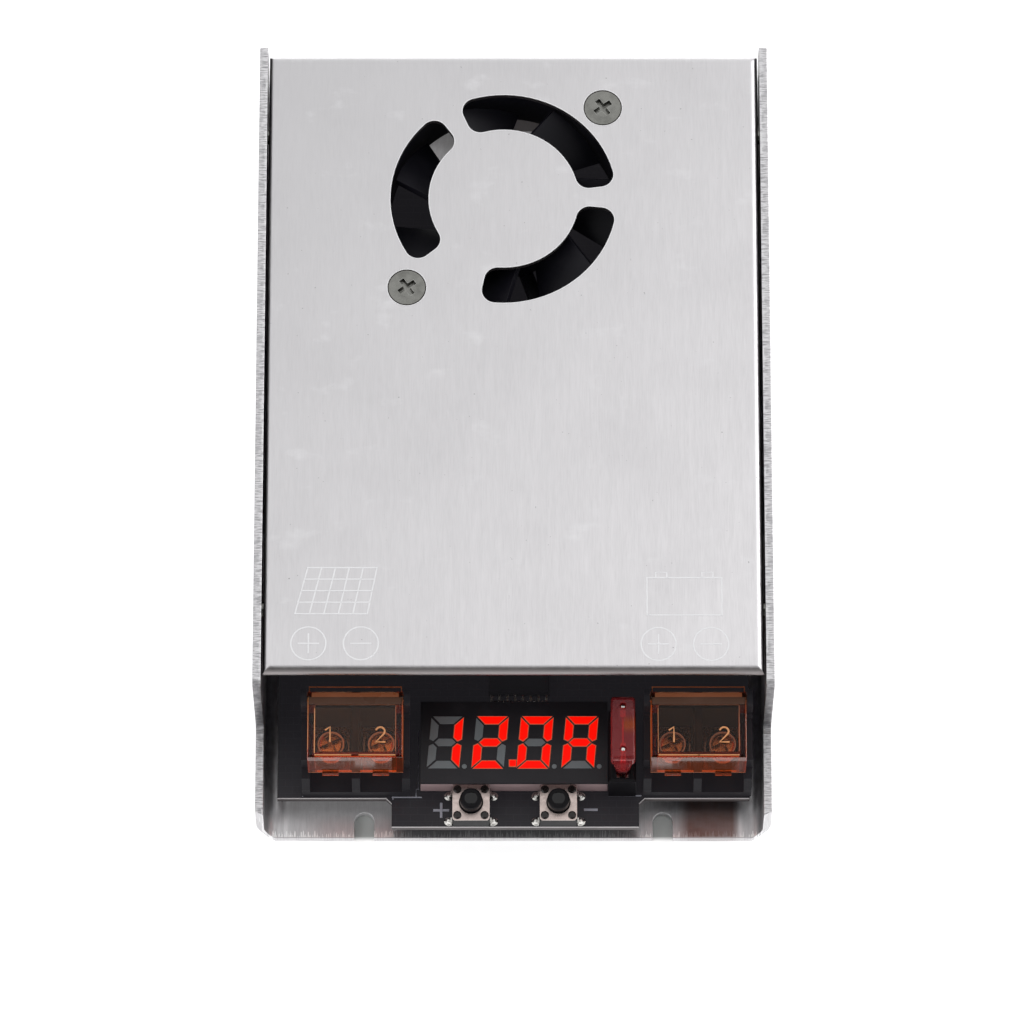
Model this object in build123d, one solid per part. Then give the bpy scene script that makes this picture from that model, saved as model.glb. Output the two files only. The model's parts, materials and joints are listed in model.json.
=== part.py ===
"""Solar charge controller: a folded aluminium case with a fan-cooled board.

The frame has +X across the case, +Y from the open terminal end towards the fan end, and +Z up.
The origin is the middle of the case's underside. All lengths are in millimetres.
"""

import math
import os

from build123d import *

# Case
LENGTH = 128.0  # along Y
WIDTH = 83.4  # over the side walls
HEIGHT = 30.0
WALL = 1.3  # sheet of the chassis
BEND = 3.0  # outside radius where floor and walls meet
LOW_WALL = 10.0  # wall height beside the terminals
BAY = 16.0  # length of the low part of the walls
CORNER_X, CORNER_Y = 3.0, 1.6  # cut-off front corners of the floor
SLOT_X = 24.2  # mounting slots and holes, each side of the middle
SLOT_R = 1.6
SLOT_DEPTH = 4.35
REAR_HOLE_Y = 121.5  # from the front edge
TAP_R = 1.25  # drilled for an M3 thread

# Cover
COVER_WIDTH = 80.2
COVER_SHEET = 1.0
COVER_FRONT, COVER_REAR = 18.15, 126.2  # from the front edge
COVER_BEND = 1.3
COVER_LIP = 1.4  # height of the front lip
COVER_SIDE = 6.0  # height of the side flanges
COVER_RELIEF = 1.3
COVER_SCREW_YS = (30.0, 113.0)
COVER_SCREW_Z = 26.8

# Fan, a 40 mm square frame 10 mm deep
FAN_X, FAN_Y = -1.35, 100.8
FAN_SIZE, FAN_DEPTH = 40.0, 10.0
FAN_PITCH = 32.0
FAN_BORE = 18.9
FAN_TIP = 18.3
FAN_HUB = 10.5
FAN_BLADES = 7
GRILLE_X, GRILLE_Y = -1.6, 100.6
GRILLE_R, GRILLE_SLOT = 15.4, 6.2
GRILLE_ARCS = ((7.5, 114.0), (126.5, 218.8), (257.5, 354.2))  # degrees, to the flat ends
GRILLE_CORNER = 2.2

# Board
BOARD_Z, BOARD_THICK = 5.4, 1.6
BOARD_TOP = BOARD_Z + BOARD_THICK
BOARD_HALF = 38.2
BOARD_FRONT, BOARD_REAR = 4.9, 117.0
TONGUE_X = (-19.7, 20.3)
BOARD_HOLES = [(x, y) for x in (-34.6, 34.6) for y in (34.0, 111.0)]

# Terminal blocks: two poles each, under a hinged cover
BLOCK_XS = {"left": -25.4, "right": 29.7}
POLE_PITCH = 8.1
POLE_Y = 12.0
BLOCK_FRONT, BLOCK_REAR = 5.2, 18.5
BLOCK_HALF = 8.75
BARRIER = 1.3
PLINTH_TOP = 9.0
CONTACT_THICK = 0.8
CONTACT_TOP = PLINTH_TOP + CONTACT_THICK
CLAMP_THICK = 0.8
HINGE_Y, HINGE_Z = 17.0, 21.0
FLAP_HALF = 7.65
FLAP_TOP = 22.0
FLAP_WALL = 1.2
FLAP_FRONT = 6.64
FLAP_BOTTOM = 14.6

# Display with four digits
DISPLAY_X = (-15.0, 15.2)
DISPLAY_Y = (6.1, 19.3)
FACE_Y = (5.3, 19.3)  # the face overhangs the body in front
FACE_THICK = 0.4
DISPLAY_TOP = 13.0
DIGIT_PITCH, DIGIT_W, DIGIT_H, DIGIT_T = 7.25, 5.2, 8.9, 1.3
DIGIT_GAP = 0.24
DIGIT_SLANT = math.tan(math.radians(5.0))
DIGITS_X, DIGITS_Y = -0.15, 12.3
LIT = ("bc", "abgedp", "abcdef", "abcefg")  # segments that glow, digit by digit

# Push buttons
BUTTON_XS = {"plus": -6.85, "minus": 7.25}
BUTTON_Y = 3.0
BUTTON_HALF = 3.0

# Fuse: a mini blade fuse in an upright holder
FUSE_X, FUSE_Y = 17.55, 11.3
FUSE_LENGTH, FUSE_THICK = 10.8, 3.9
FUSE_BOTTOM, FUSE_TOP = 14.4, 23.0
BLADE_W, BLADE_T = 2.8, 0.8


def back(distance):
    """Y at a distance behind the front edge of the floor."""
    return distance - LENGTH / 2


def block(x, y, z):
    """Box between pairs of limits, with y given from the front edge."""
    size = [b - a for a, b in (x, y, z)]
    middle = [(a + b) / 2 for a, b in (x, y, z)]
    return Pos(middle[0], back(middle[1]), middle[2]) * Box(*size)


def post(x, y, z, radius):
    """Upright cylinder between the two heights in z."""
    height = z[1] - z[0]
    return Pos(x, back(y), (z[0] + z[1]) / 2) * Cylinder(radius, height)


def rod(x, y, z, radius):
    """Cylinder along X between the two limits in x."""
    length = x[1] - x[0]
    return Pos((x[0] + x[1]) / 2, back(y), z) * Rot(0, 90, 0) * Cylinder(radius, length)


def slab(points, x):
    """Plate between two X limits, with its outline as (y from the front edge, z)."""
    outline = Polygon(*[(back(y), z) for y, z in points], align=None)
    face = Plane.YZ * outline
    return Pos(x[0], 0, 0) * extrude(face, x[1] - x[0], dir=(1, 0, 0))


def turned(points, x=0.0, y=0.0, z=0.0):
    """Solid of revolution about an upright axis, from (radius, height) points."""
    face = make_face(Plane.XZ * Polyline(*points, close=True))
    return Pos(x, back(y), z) * revolve(face, Axis.Z)


def hexagon_nut(across, thick, hole_r):
    """Hexagonal nut standing on z = 0."""
    flat = RegularPolygon(across / 2, 6, major_radius=False) - Circle(hole_r)
    return extrude(flat, thick)


def cross_recess(width, depth):
    """Tapered cross to be cut down from z = 0."""
    arm = width * 0.28
    plan = Rectangle(width, arm) + Rectangle(arm, width)
    return extrude(plan, -depth, taper=7)


def flat_screw(head_r, shank_r, length, dome=0.0):
    """Countersunk screw with its rim at z = 0, pointing down."""
    cone = head_r - shank_r
    profile = [(0, dome), (head_r * 0.55, dome * 0.75), (head_r, 0), (head_r, -0.1)]
    profile += [(shank_r, -cone - 0.1), (shank_r, -length), (0, -length)]
    body = turned(profile, y=LENGTH / 2)
    return body - Pos(0, 0, dome) * cross_recess(head_r * 1.05, 1.1)


def pan_screw(head_r, head_h, shank_r, length):
    """Pan-head screw with the underside of its head at z = 0, pointing down."""
    head = Pos(0, 0, head_h / 2) * Cylinder(head_r, head_h)
    head = fillet(head.edges().group_by(Axis.Z)[-1], head_h * 0.45)
    shank = Pos(0, 0, -length / 2) * Cylinder(shank_r, length)
    return head + shank - Pos(0, 0, head_h) * cross_recess(head_r * 1.15, head_h * 0.6)


def countersink(shank_r, head_r):
    """Cutter for a countersunk hole, with its rim at z = 0."""
    cone = head_r - shank_r
    profile = [(0, 1), (head_r, 1), (head_r, 0), (shank_r, -cone), (shank_r, -9), (0, -9)]
    return turned(profile, y=LENGTH / 2)


def edges_near(shape, axis, y=None, z=None):
    """Edges parallel to an axis whose middles lie at the given y or z."""
    found = []
    for edge in shape.edges().filter_by(axis):
        middle = edge.center()
        if y is not None and abs(middle.Y - back(y)) > 0.01:
            continue
        if z is not None and abs(middle.Z - z) > 0.01:
            continue
        found.append(edge)
    return found


# ---------------------------------------------------------------- case


def side_frames(y, z, half):
    """Locations on both side walls whose local -Z points into the case."""
    return [Pos(side * half, back(y), z) * Rot(0, side * 90, 0) for side in (-1, 1)]


POWER_YS = (50.0, 72.0)  # the devices clamped to each side wall
POWER_Z = 20.6


def base_chassis():
    """Floor and side walls folded from one sheet, with a low bay at the terminal end."""
    half = WIDTH / 2
    outer = block((-half, half), (0, LENGTH), (0, HEIGHT))
    outer = fillet(outer.edges().filter_by(Axis.Y).group_by(Axis.Z)[0], BEND)
    inner = block((WALL - half, half - WALL), (-1, LENGTH + 1), (WALL, HEIGHT + 9))
    inner = fillet(inner.edges().filter_by(Axis.Y).group_by(Axis.Z)[0], BEND - WALL)
    body = outer - inner
    bay = block((-half - 1, half + 1), (-1, BAY), (LOW_WALL, HEIGHT + 1))
    bay = fillet(edges_near(bay, Axis.X, y=BAY, z=LOW_WALL), 1.5)
    body -= bay
    for side in (-1, 1):
        cut = Polygon((0, 0), (-side * CORNER_X, 0), (0, CORNER_Y), align=None)
        body -= Pos(side * half, back(0), -1) * extrude(cut, HEIGHT + 1, dir=(0, 0, 1))
    body = fillet(edges_near(body, Axis.X, y=BAY, z=HEIGHT), 1.0)
    body = fillet(edges_near(body, Axis.X, y=LENGTH, z=HEIGHT), 1.0)
    for x in (-SLOT_X, SLOT_X):
        slot_middle = SLOT_DEPTH - SLOT_R
        body -= post(x, slot_middle, (-1, 2), SLOT_R)
        body -= block((x - SLOT_R, x + SLOT_R), (-1, slot_middle), (-1, 2))
        body -= post(x, REAR_HOLE_Y, (-1, 2), TAP_R)
    for y in COVER_SCREW_YS:
        for place in side_frames(y, COVER_SCREW_Z, half):
            body -= place * countersink(1.35, 2.4)
    for y in POWER_YS:
        for place in side_frames(y, POWER_Z, half):
            body -= place * countersink(1.6, 2.9)
    return body


def grille_slot(start, end):
    """Curved slot with square ends and rounded corners."""
    arcs = [CenterArc((0, 0), GRILLE_R + side * GRILLE_SLOT / 2, start, end - start) for side in (-1, 1)]
    ends = [Line(arcs[0] @ t, arcs[1] @ t) for t in (0, 1)]
    outline = make_face(arcs + ends)
    return extrude(fillet(outline.vertices(), GRILLE_CORNER), 4)


def top_cover():
    """Lid with a front lip, side flanges and a rear wall, pierced above the fan."""
    half = COVER_WIDTH / 2
    sheet = COVER_SHEET
    foot = WALL + 0.3
    shell = block((-half, half), (COVER_FRONT, COVER_REAR), (foot, HEIGHT))
    shell = fillet(shell.edges().group_by(Axis.Z)[-1], COVER_BEND)
    hollow_x = (sheet - half, half - sheet)
    hollow = block(hollow_x, (COVER_FRONT + sheet, COVER_REAR - sheet), (0, HEIGHT - sheet))
    hollow = fillet(hollow.edges().group_by(Axis.Z)[-1], COVER_BEND - sheet)
    shell -= hollow
    wide = (-half - 1, half + 1)
    shell -= block(wide, (0, COVER_FRONT + 3), (0, HEIGHT - COVER_LIP))
    shell -= block(wide, (0, COVER_REAR - sheet - 0.2), (0, HEIGHT - COVER_SIDE))
    for side in (-1, 1):
        for y in (COVER_FRONT, COVER_REAR):
            relief = 2 * COVER_RELIEF
            notch = Box(relief, relief, 3 * HEIGHT, align=(Align.CENTER, Align.CENTER, Align.MAX))
            shell -= Pos(side * half, back(y), HEIGHT - COVER_LIP) * notch
        cut = Polygon((0, 0), (-side * 4.0, 0), (0, 4.0), align=None)
        corner = extrude(Plane.XZ * cut, 6, both=True)
        shell -= Pos(side * half, back(COVER_REAR), foot) * corner
    for ends in GRILLE_ARCS:
        shell -= Pos(GRILLE_X, back(GRILLE_Y), HEIGHT - 2) * grille_slot(*ends)
    for x, y in fan_screw_places():
        shell -= Pos(x, back(y), HEIGHT) * countersink(1.65, 3.15)
    for y in COVER_SCREW_YS:
        for place in side_frames(y, COVER_SCREW_Z, half):
            shell -= place * Cylinder(1.3, 4)
    vent_height = 13.0
    for k in range(-4, 5):
        slot = SlotOverall(vent_height, 2.4, rotation=90)
        cutter = extrude(Plane.XZ * slot, 4, both=True)
        shell -= Pos(k * 6.6, back(COVER_REAR), HEIGHT / 2) * cutter
    return shell


def cover_screws():
    """Four countersunk screws that hold the cover to the side walls."""
    screw = flat_screw(2.3, 1.25, 5.0)
    return [
        place * screw
        for y in COVER_SCREW_YS
        for place in side_frames(y, COVER_SCREW_Z, WIDTH / 2)
    ]


def insulating_sheet():
    """Thin film between the floor and the solder side of the board."""
    film = block((-37.4, 37.4), (9.0, 117.0), (WALL, WALL + 0.3))
    for x, y in BOARD_HOLES:
        film -= post(x, y, (0, 4), 2.9)
    return film


# ---------------------------------------------------------------- fan


def fan_corners(count=4):
    """Centres of the frame's corner holes; the first two, diagonal, carry screws."""
    half = FAN_PITCH / 2
    signs = [(1, 1), (-1, -1), (1, -1), (-1, 1)][:count]
    return [(FAN_X + half * a, FAN_Y + half * b) for a, b in signs]


def fan_screw_places():
    return fan_corners(2)


FAN_TOP = HEIGHT - COVER_SHEET
FAN_BOTTOM = FAN_TOP - FAN_DEPTH


def fan_frame():
    """Square frame with its duct, four struts and the motor's foot."""
    half = FAN_SIZE / 2
    frame = block((FAN_X - half, FAN_X + half), (FAN_Y - half, FAN_Y + half), (FAN_BOTTOM, FAN_TOP))
    frame = fillet(frame.edges().filter_by(Axis.Z), 3.0)
    frame -= post(FAN_X, FAN_Y, (FAN_BOTTOM - 1, FAN_TOP + 1), FAN_BORE)
    for x, y in fan_corners():
        frame -= post(x, y, (FAN_BOTTOM - 1, FAN_TOP + 1), 1.75)
    for x, y in fan_screw_places():
        frame -= Pos(x, back(y), FAN_TOP + 1) * countersink(1.65, 3.15)
    frame += post(FAN_X, FAN_Y, (FAN_BOTTOM, FAN_BOTTOM + 1.2), 9.6)
    strut = Pos(FAN_BORE / 2 + 4.4, 0, 0) * Box(FAN_BORE - 8.4, 2.2, 1.5)
    for turn in (20, 110, 200, 290):
        frame += Pos(FAN_X, back(FAN_Y), FAN_BOTTOM + 0.75) * Rot(0, 0, turn) * strut
    frame += post(FAN_X, FAN_Y, (FAN_BOTTOM + 1, FAN_BOTTOM + 6.5), 3.0)
    return frame - post(FAN_X, FAN_Y, (FAN_BOTTOM + 1.2, FAN_BOTTOM + 8), 2.0)


def fan_bearing():
    """Bronze sleeve in the motor's foot."""
    sleeve = post(FAN_X, FAN_Y, (FAN_BOTTOM + 1.2, FAN_BOTTOM + 6.3), 2.0)
    return sleeve - post(FAN_X, FAN_Y, (FAN_BOTTOM + 1, FAN_BOTTOM + 8), 1.04)


def around_fan(piece, count, start=0.0):
    """Copies of a piece, modelled about the fan's axis, spaced evenly round it."""
    turns = [start + 360 * k / count for k in range(count)]
    return [Pos(FAN_X, back(FAN_Y), 0) * Rot(0, 0, turn) * piece for turn in turns]


def fan_stator():
    """Laminated core with four poles round the bearing tube."""
    low, high = FAN_BOTTOM + 2.4, FAN_BOTTOM + 5.4
    core = post(FAN_X, FAN_Y, (low, high), 4.2)
    middle, tall = (low + high) / 2, high - low
    arm = Pos(4.8, 0, middle) * Box(2.4, 1.4, tall)
    shoe = Pos(6.4, 0, middle) * Box(1.0, 5.2, tall)
    for pole in around_fan(arm + shoe, 4):
        core += pole
    return core - post(FAN_X, FAN_Y, (0, HEIGHT), 3.02)


def fan_coils():
    """Enamelled windings on the four poles."""
    middle, tall = FAN_BOTTOM + 3.9, 3.0
    coil = Pos(5.05, 0, middle) * Box(1.5, 2.8, tall + 1.2)
    coil -= Pos(5.05, 0, middle) * Box(4, 1.42, tall + 0.02)
    return around_fan(coil, 4)


def fan_magnet():
    """Ring magnet bonded inside the hub."""
    low, high = FAN_BOTTOM + 2.2, FAN_BOTTOM + 7.2
    return post(FAN_X, FAN_Y, (low, high), 8.8) - post(FAN_X, FAN_Y, (low - 1, high + 1), 7.7)


def fan_shaft():
    return post(FAN_X, FAN_Y, (FAN_BOTTOM + 1.6, FAN_BOTTOM + 8.2), 1.0)


def fan_blade():
    """One twisted and swept blade, modelled about the fan's axis."""
    middle = FAN_BOTTOM + 5.6
    root_plane = Plane(origin=(8.9, 0, middle), x_dir=(0, 1, 0), z_dir=(1, 0, 0))
    tip_plane = Plane(origin=(18.8, 0, middle), x_dir=(0, 1, 0), z_dir=(1, 0, 0))
    root = root_plane * Rot(0, 0, 40) * Rectangle(7.6, 1.1)
    tip = Rot(0, 0, -16) * (tip_plane * Rot(0, 0, 27) * Rectangle(12.4, 0.8))
    blade = loft([root.face(), tip.face()])
    low, high = FAN_BOTTOM + 2.2, FAN_BOTTOM + 9.2
    return blade & Pos(0, 0, (low + high) / 2) * Cylinder(FAN_TIP, high - low)


def fan_rotor():
    """Hub cup with its blades."""
    low, high = FAN_BOTTOM + 2.0, FAN_BOTTOM + 9.3
    hub = post(FAN_X, FAN_Y, (low, high), FAN_HUB)
    hub = fillet(hub.edges().group_by(Axis.Z)[-1], 1.0)
    for blade in around_fan(fan_blade(), FAN_BLADES, 12):
        hub += blade
    hub -= post(FAN_X, FAN_Y, (low - 1, high - 1.2), 8.8)
    hub += post(FAN_X, FAN_Y, (FAN_BOTTOM + 7.0, high - 1.0), 2.4)
    return hub - post(FAN_X, FAN_Y, (0, FAN_BOTTOM + 8.2), 1.0)


def fan_screws():
    """Two domed countersunk screws through the cover and the frame."""
    screw = flat_screw(3.05, 1.5, 14.0, dome=0.3)
    return [Pos(x, back(y), HEIGHT) * Rot(0, 0, 35) * screw for x, y in fan_screw_places()]


def fan_nuts():
    nut = hexagon_nut(5.5, 2.4, 1.55)
    return [Pos(x, back(y), FAN_BOTTOM - 2.4) * nut for x, y in fan_screw_places()]


LEAD_Y = {"positive": 90.2, "negative": 92.8}
HEADER_X = 27.0


def fan_lead(y):
    """One insulated wire from the frame's side down to the plug."""
    start = FAN_X + FAN_SIZE / 2
    height = FAN_BOTTOM + 1.6
    path = FilletPolyline(
        (start, back(y), height), (HEADER_X, back(y), height), (HEADER_X, back(y), 14.5), radius=3.6
    )
    section = Plane(origin=(start, back(y), height), z_dir=(1, 0, 0)) * Circle(0.6)
    return sweep(section, path=path)


def fan_plug():
    """Small two-way plug that carries both wires."""
    return block((HEADER_X - 2.2, HEADER_X + 2.2), (88.4, 94.6), (8.8, 14.5))


def fan_header():
    """Pin header under the plug."""
    return block((HEADER_X - 2.6, HEADER_X + 2.6), (88.0, 95.0), (BOARD_TOP, 8.8))


# ---------------------------------------------------------------- board


def main_pcb():
    """Board with a tongue for the buttons, drilled for screws and leads."""
    tongue = (TONGUE_X[0], TONGUE_X[1])
    board = block((-BOARD_HALF, BOARD_HALF), (BOARD_FRONT, BOARD_REAR), (BOARD_Z, BOARD_TOP))
    board += block(tongue, (0.0, BOARD_FRONT + 1), (BOARD_Z, BOARD_TOP))
    for x, side in zip(tongue, (-1, 1)):
        gusset = Polygon((0, 0), (side * 0.9, 0), (0, -0.9), align=None)
        board += Pos(x, back(BOARD_FRONT), BOARD_Z) * extrude(gusset, BOARD_THICK, dir=(0, 0, 1))
    for x, y in BOARD_HOLES:
        board -= post(x, y, (0, HEIGHT), 1.65)
    for x, y in button_legs():
        board -= post(x, y, (0, HEIGHT), 0.55)
    for x in pole_xs():
        board -= post(x, 15.0, (0, HEIGHT), 0.8)
    for y in fuse_blade_ys():
        board -= post(FUSE_X, y, (0, HEIGHT), 0.7)
    return board


def pcb_standoffs():
    """Pressed-in spacers between floor and board."""
    return [
        post(x, y, (WALL, BOARD_Z), 2.6) - post(x, y, (0, HEIGHT), 1.55) for x, y in BOARD_HOLES
    ]


def pcb_screws():
    screw = pan_screw(2.8, 1.9, 1.5, 4.8)
    return [Pos(x, back(y), BOARD_TOP) * screw for x, y in BOARD_HOLES]


CHIPS = {"driver": (0.9, 24.3, 9.9), "controller": (-14.0, 34.0, 12.8)}
CHIP_PIN_PITCH = 1.27


def chips():
    """Surface-mounted packages: the display driver and the charge microcontroller."""
    made = []
    for x, y, length in CHIPS.values():
        half = length / 2
        body = block((x - half, x + half), (y - 1.95, y + 1.95), (BOARD_TOP + 0.15, BOARD_TOP + 1.6))
        made.append(chamfer(body.edges().group_by(Axis.Z)[-1], 0.25))
    return made


def chip_pins():
    """Gull-wing leads along both long sides of each package."""
    made = []
    for x, y, length in CHIPS.values():
        count = int(length / CHIP_PIN_PITCH + 0.3)
        for k in range(count):
            px = x + (k - (count - 1) / 2) * CHIP_PIN_PITCH
            for side in (-1, 1):
                reach = sorted((y + side * 1.95, y + side * 2.45))
                foot = sorted((y + side * 2.25, y + side * 3.0))
                lead = block((px - 0.2, px + 0.2), reach, (BOARD_TOP + 0.7, BOARD_TOP + 0.9))
                lead += block((px - 0.2, px + 0.2), foot, (BOARD_TOP, BOARD_TOP + 0.2))
                knee = sorted((y + side * 2.25, y + side * 2.45))
                lead += block((px - 0.2, px + 0.2), knee, (BOARD_TOP, BOARD_TOP + 0.9))
                made.append(lead)
    return made


CAPACITORS = ((-17.0, 50.0, 6.5, 19.0), (-1.0, 50.0, 6.5, 19.0), (-27.0, 36.0, 4.0, 12.0))


def capacitor_cans():
    """Aluminium cans with scored tops, standing a little out of their sleeves."""
    made = []
    for x, y, radius, height in CAPACITORS:
        top = BOARD_TOP + height
        can = post(x, y, (BOARD_TOP, top), radius - 0.2)
        can = fillet(can.edges().group_by(Axis.Z)[-1], 0.5)
        score = Box(radius * 1.3, 0.35, 0.4) + Box(0.35, radius * 1.3, 0.4)
        made.append(can - Pos(x, back(y), top) * score)
    return made


def capacitor_sleeves():
    """Printed shrink sleeves round the cans."""
    made = []
    for x, y, radius, height in CAPACITORS:
        span = (BOARD_TOP, BOARD_TOP + height - 0.7)
        made.append(post(x, y, span, radius) - post(x, y, (0, HEIGHT), radius - 0.2))
    return made


INDUCTOR = (19.0, 52.0)
CORE_R, CORE_BORE, CORE_Z = 10.0, 5.6, (8.7, 16.7)


def inductor_core():
    """Powdered-iron ring."""
    x, y = INDUCTOR
    ring = post(x, y, CORE_Z, CORE_R) - post(x, y, (0, HEIGHT), CORE_BORE)
    return fillet(ring.edges(), 0.6)


def inductor_winding():
    """Turns of thick enamelled wire, laid round the ring as closed loops."""
    x, y = INDUCTOR
    low, high = CORE_Z
    wire = 0.8
    outside, inside = CORE_R + wire + 0.05, CORE_BORE - wire - 0.05
    loop_wide, loop_tall = outside - inside, high - low + 2 * wire + 0.1
    bent = Plane.XZ * RectangleRounded(loop_wide, loop_tall, 1.2)
    path = bent.wire()
    start = path.position_at(0)
    tangent = path.tangent_at(0)
    section = Plane(origin=start, z_dir=tangent) * Circle(wire)
    loop = Pos((inside + outside) / 2, 0, 0) * sweep(section, path=path)
    middle = (low + high) / 2
    return [Pos(x, back(y), middle) * Rot(0, 0, turn) * loop for turn in range(0, 360, 24)]


def power_places():
    """Side and y of each device clamped to a wall."""
    return [(side, y) for side in (-1, 1) for y in POWER_YS]


def wall_block(side, x, y, z):
    """Box given by its distance in from a side wall's inner face."""
    face = WIDTH / 2 - WALL
    limits = sorted((side * (face - x[0]), side * (face - x[1])))
    return block(limits, y, z)


PAD = 0.3
TAB = 1.3


def thermal_pads():
    """Insulating pads between the walls and the devices' tabs."""
    made = []
    for side, y in power_places():
        pad = wall_block(side, (0, PAD), (y - 6.0, y + 6.0), (8.0, 23.8))
        made.append(pad - rod(wall_span(side, PAD + 1), y, POWER_Z, 1.7))
    return made


def wall_span(side, depth):
    """X limits of something that goes through a wall and reaches in by a depth."""
    face = WIDTH / 2 - WALL
    return sorted((side * (WIDTH / 2 + 1), side * (face - depth)))


def power_tabs():
    """Metal tabs that carry the devices' heat to the walls."""
    made = []
    for side, y in power_places():
        tab = wall_block(side, (PAD, PAD + TAB), (y - 5.0, y + 5.0), (8.6, 23.6))
        made.append(tab - rod(wall_span(side, PAD + TAB + 1), y, POWER_Z, 1.8))
    return made


def power_bodies():
    """Moulded bodies of two transistors and two diodes."""
    made = []
    for side, y in power_places():
        body = wall_block(side, (PAD + TAB, PAD + 4.4), (y - 5.0, y + 5.0), (8.6, 17.4))
        made.append(chamfer(body.edges().filter_by(Axis.Z), 0.4))
    return made


def power_leads():
    """Three leads from each device down to the board."""
    made = []
    for side, y in power_places():
        for step in (-2.54, 0, 2.54):
            span = (y + step - 0.4, y + step + 0.4)
            made.append(wall_block(side, (PAD + 2.6, PAD + 3.1), span, (BOARD_TOP, 8.6)))
    return made


def power_screws():
    """Countersunk screws through the walls and tabs."""
    screw = flat_screw(2.8, 1.5, 7.0)
    made = []
    for y in POWER_YS:
        for place in side_frames(y, POWER_Z, WIDTH / 2):
            made.append(place * screw)
    return made


def power_nuts():
    """Nuts that draw the tabs against the walls."""
    nut = hexagon_nut(5.5, 2.4, 1.55)
    depth = WALL + PAD + TAB
    made = []
    for y in POWER_YS:
        for place in side_frames(y, POWER_Z, WIDTH / 2):
            made.append(place * Pos(0, 0, -depth - 2.4) * nut)
    return made


def shunt_resistor():
    """Bare loop of resistance wire for current sensing."""
    y, low = 36.0, BOARD_TOP
    x0, x1 = 14.0, 26.0
    path = FilletPolyline(
        (x0, back(y), low), (x0, back(y), low + 5), (x1, back(y), low + 5), (x1, back(y), low), radius=1.8
    )
    return sweep(Plane(origin=(x0, back(y), low), z_dir=(0, 0, 1)) * Circle(0.65), path=path)


# ---------------------------------------------------------------- terminals


def pole_xs():
    """Centres of the four clamping screws, left to right."""
    offsets = (-POLE_PITCH / 2, POLE_PITCH / 2)
    return [x + offset for x in BLOCK_XS.values() for offset in offsets]


def barrier_outline(top):
    """Side view of a barrier whose nose slopes down towards the wires."""
    nose = [(BLOCK_FRONT, BOARD_TOP), (BLOCK_FRONT, 9.9), (6.2, 12.8), (8.1, 12.8)]
    return nose + [(8.1, top), (15.2, top), (15.2, 18.2), (BLOCK_REAR, 18.2), (BLOCK_REAR, BOARD_TOP)]


def terminal_housing(x):
    """Black moulding with three barriers, a rear wall and two hinge ears."""
    body = block((x - BLOCK_HALF, x + BLOCK_HALF), (BLOCK_FRONT, BLOCK_REAR), (BOARD_TOP, PLINTH_TOP))
    body += block((x - BLOCK_HALF, x + BLOCK_HALF), (16.2, BLOCK_REAR), (BOARD_TOP, 18.2))
    body += slab(barrier_outline(19.0), (x - BARRIER / 2, x + BARRIER / 2))
    for side in (-1, 1):
        inner, outer = x + side * (POLE_PITCH - BARRIER / 2), x + side * BLOCK_HALF
        low_part = block(sorted((inner, outer)), (BLOCK_FRONT, BLOCK_REAR), (BOARD_TOP, 12.8))
        body += low_part & slab(barrier_outline(12.8), sorted((inner, outer)))
        thin = sorted((x + side * (FLAP_HALF + 0.15), outer))
        body += slab(barrier_outline(16.4), thin)
        body += block(thin, (HINGE_Y - 1.45, HINGE_Y + 1.45), (12, HINGE_Z))
        body += rod(thin, HINGE_Y, HINGE_Z, 1.45)
    body -= rod((x - FLAP_HALF - 1.0, x + FLAP_HALF + 1.0), HINGE_Y, HINGE_Z, 0.6)
    for offset in (-POLE_PITCH / 2, POLE_PITCH / 2):
        body -= post(x + offset, POLE_Y, (BOARD_TOP + 0.3, HEIGHT), 1.6)
        body -= block((x + offset - 0.6, x + offset + 0.6), (14.4, 15.6), (0, PLINTH_TOP + 1))
    return body


def terminal_housings():
    return [terminal_housing(x) for x in BLOCK_XS.values()]


def terminal_contacts():
    """Tinned plates under the clamps, each with a leg through the board."""
    made = []
    for x in pole_xs():
        plate = block((x - 3.0, x + 3.0), (9.0, 15.9), (PLINTH_TOP, CONTACT_TOP))
        plate += block((x - 0.5, x + 0.5), (14.6, 15.4), (BOARD_Z - 0.6, CONTACT_TOP))
        made.append(plate - post(x, POLE_Y, (0, HEIGHT), 1.5))
    return made


def clamp_plate(x):
    """Captive washer, rounded at the back, that presses the wire down."""
    radius = 2.9
    plan = Circle(radius) + Pos(0, -radius / 2) * Rectangle(2 * radius, radius)
    plan -= Circle(1.6)
    return Pos(x, back(POLE_Y), CONTACT_TOP) * extrude(plan, CLAMP_THICK)


def terminal_screw(x):
    """Pan-head clamping screw with a cross and slot."""
    head_z = CONTACT_TOP + CLAMP_THICK
    screw = pan_screw(2.4, 2.0, 1.45, head_z - BOARD_TOP - 0.7)
    slot = Pos(0, 0, 2.0) * Box(6, 0.7, 1.6)
    return Pos(x, back(POLE_Y), head_z) * Rot(0, 0, 25) * (screw - slot)


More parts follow.
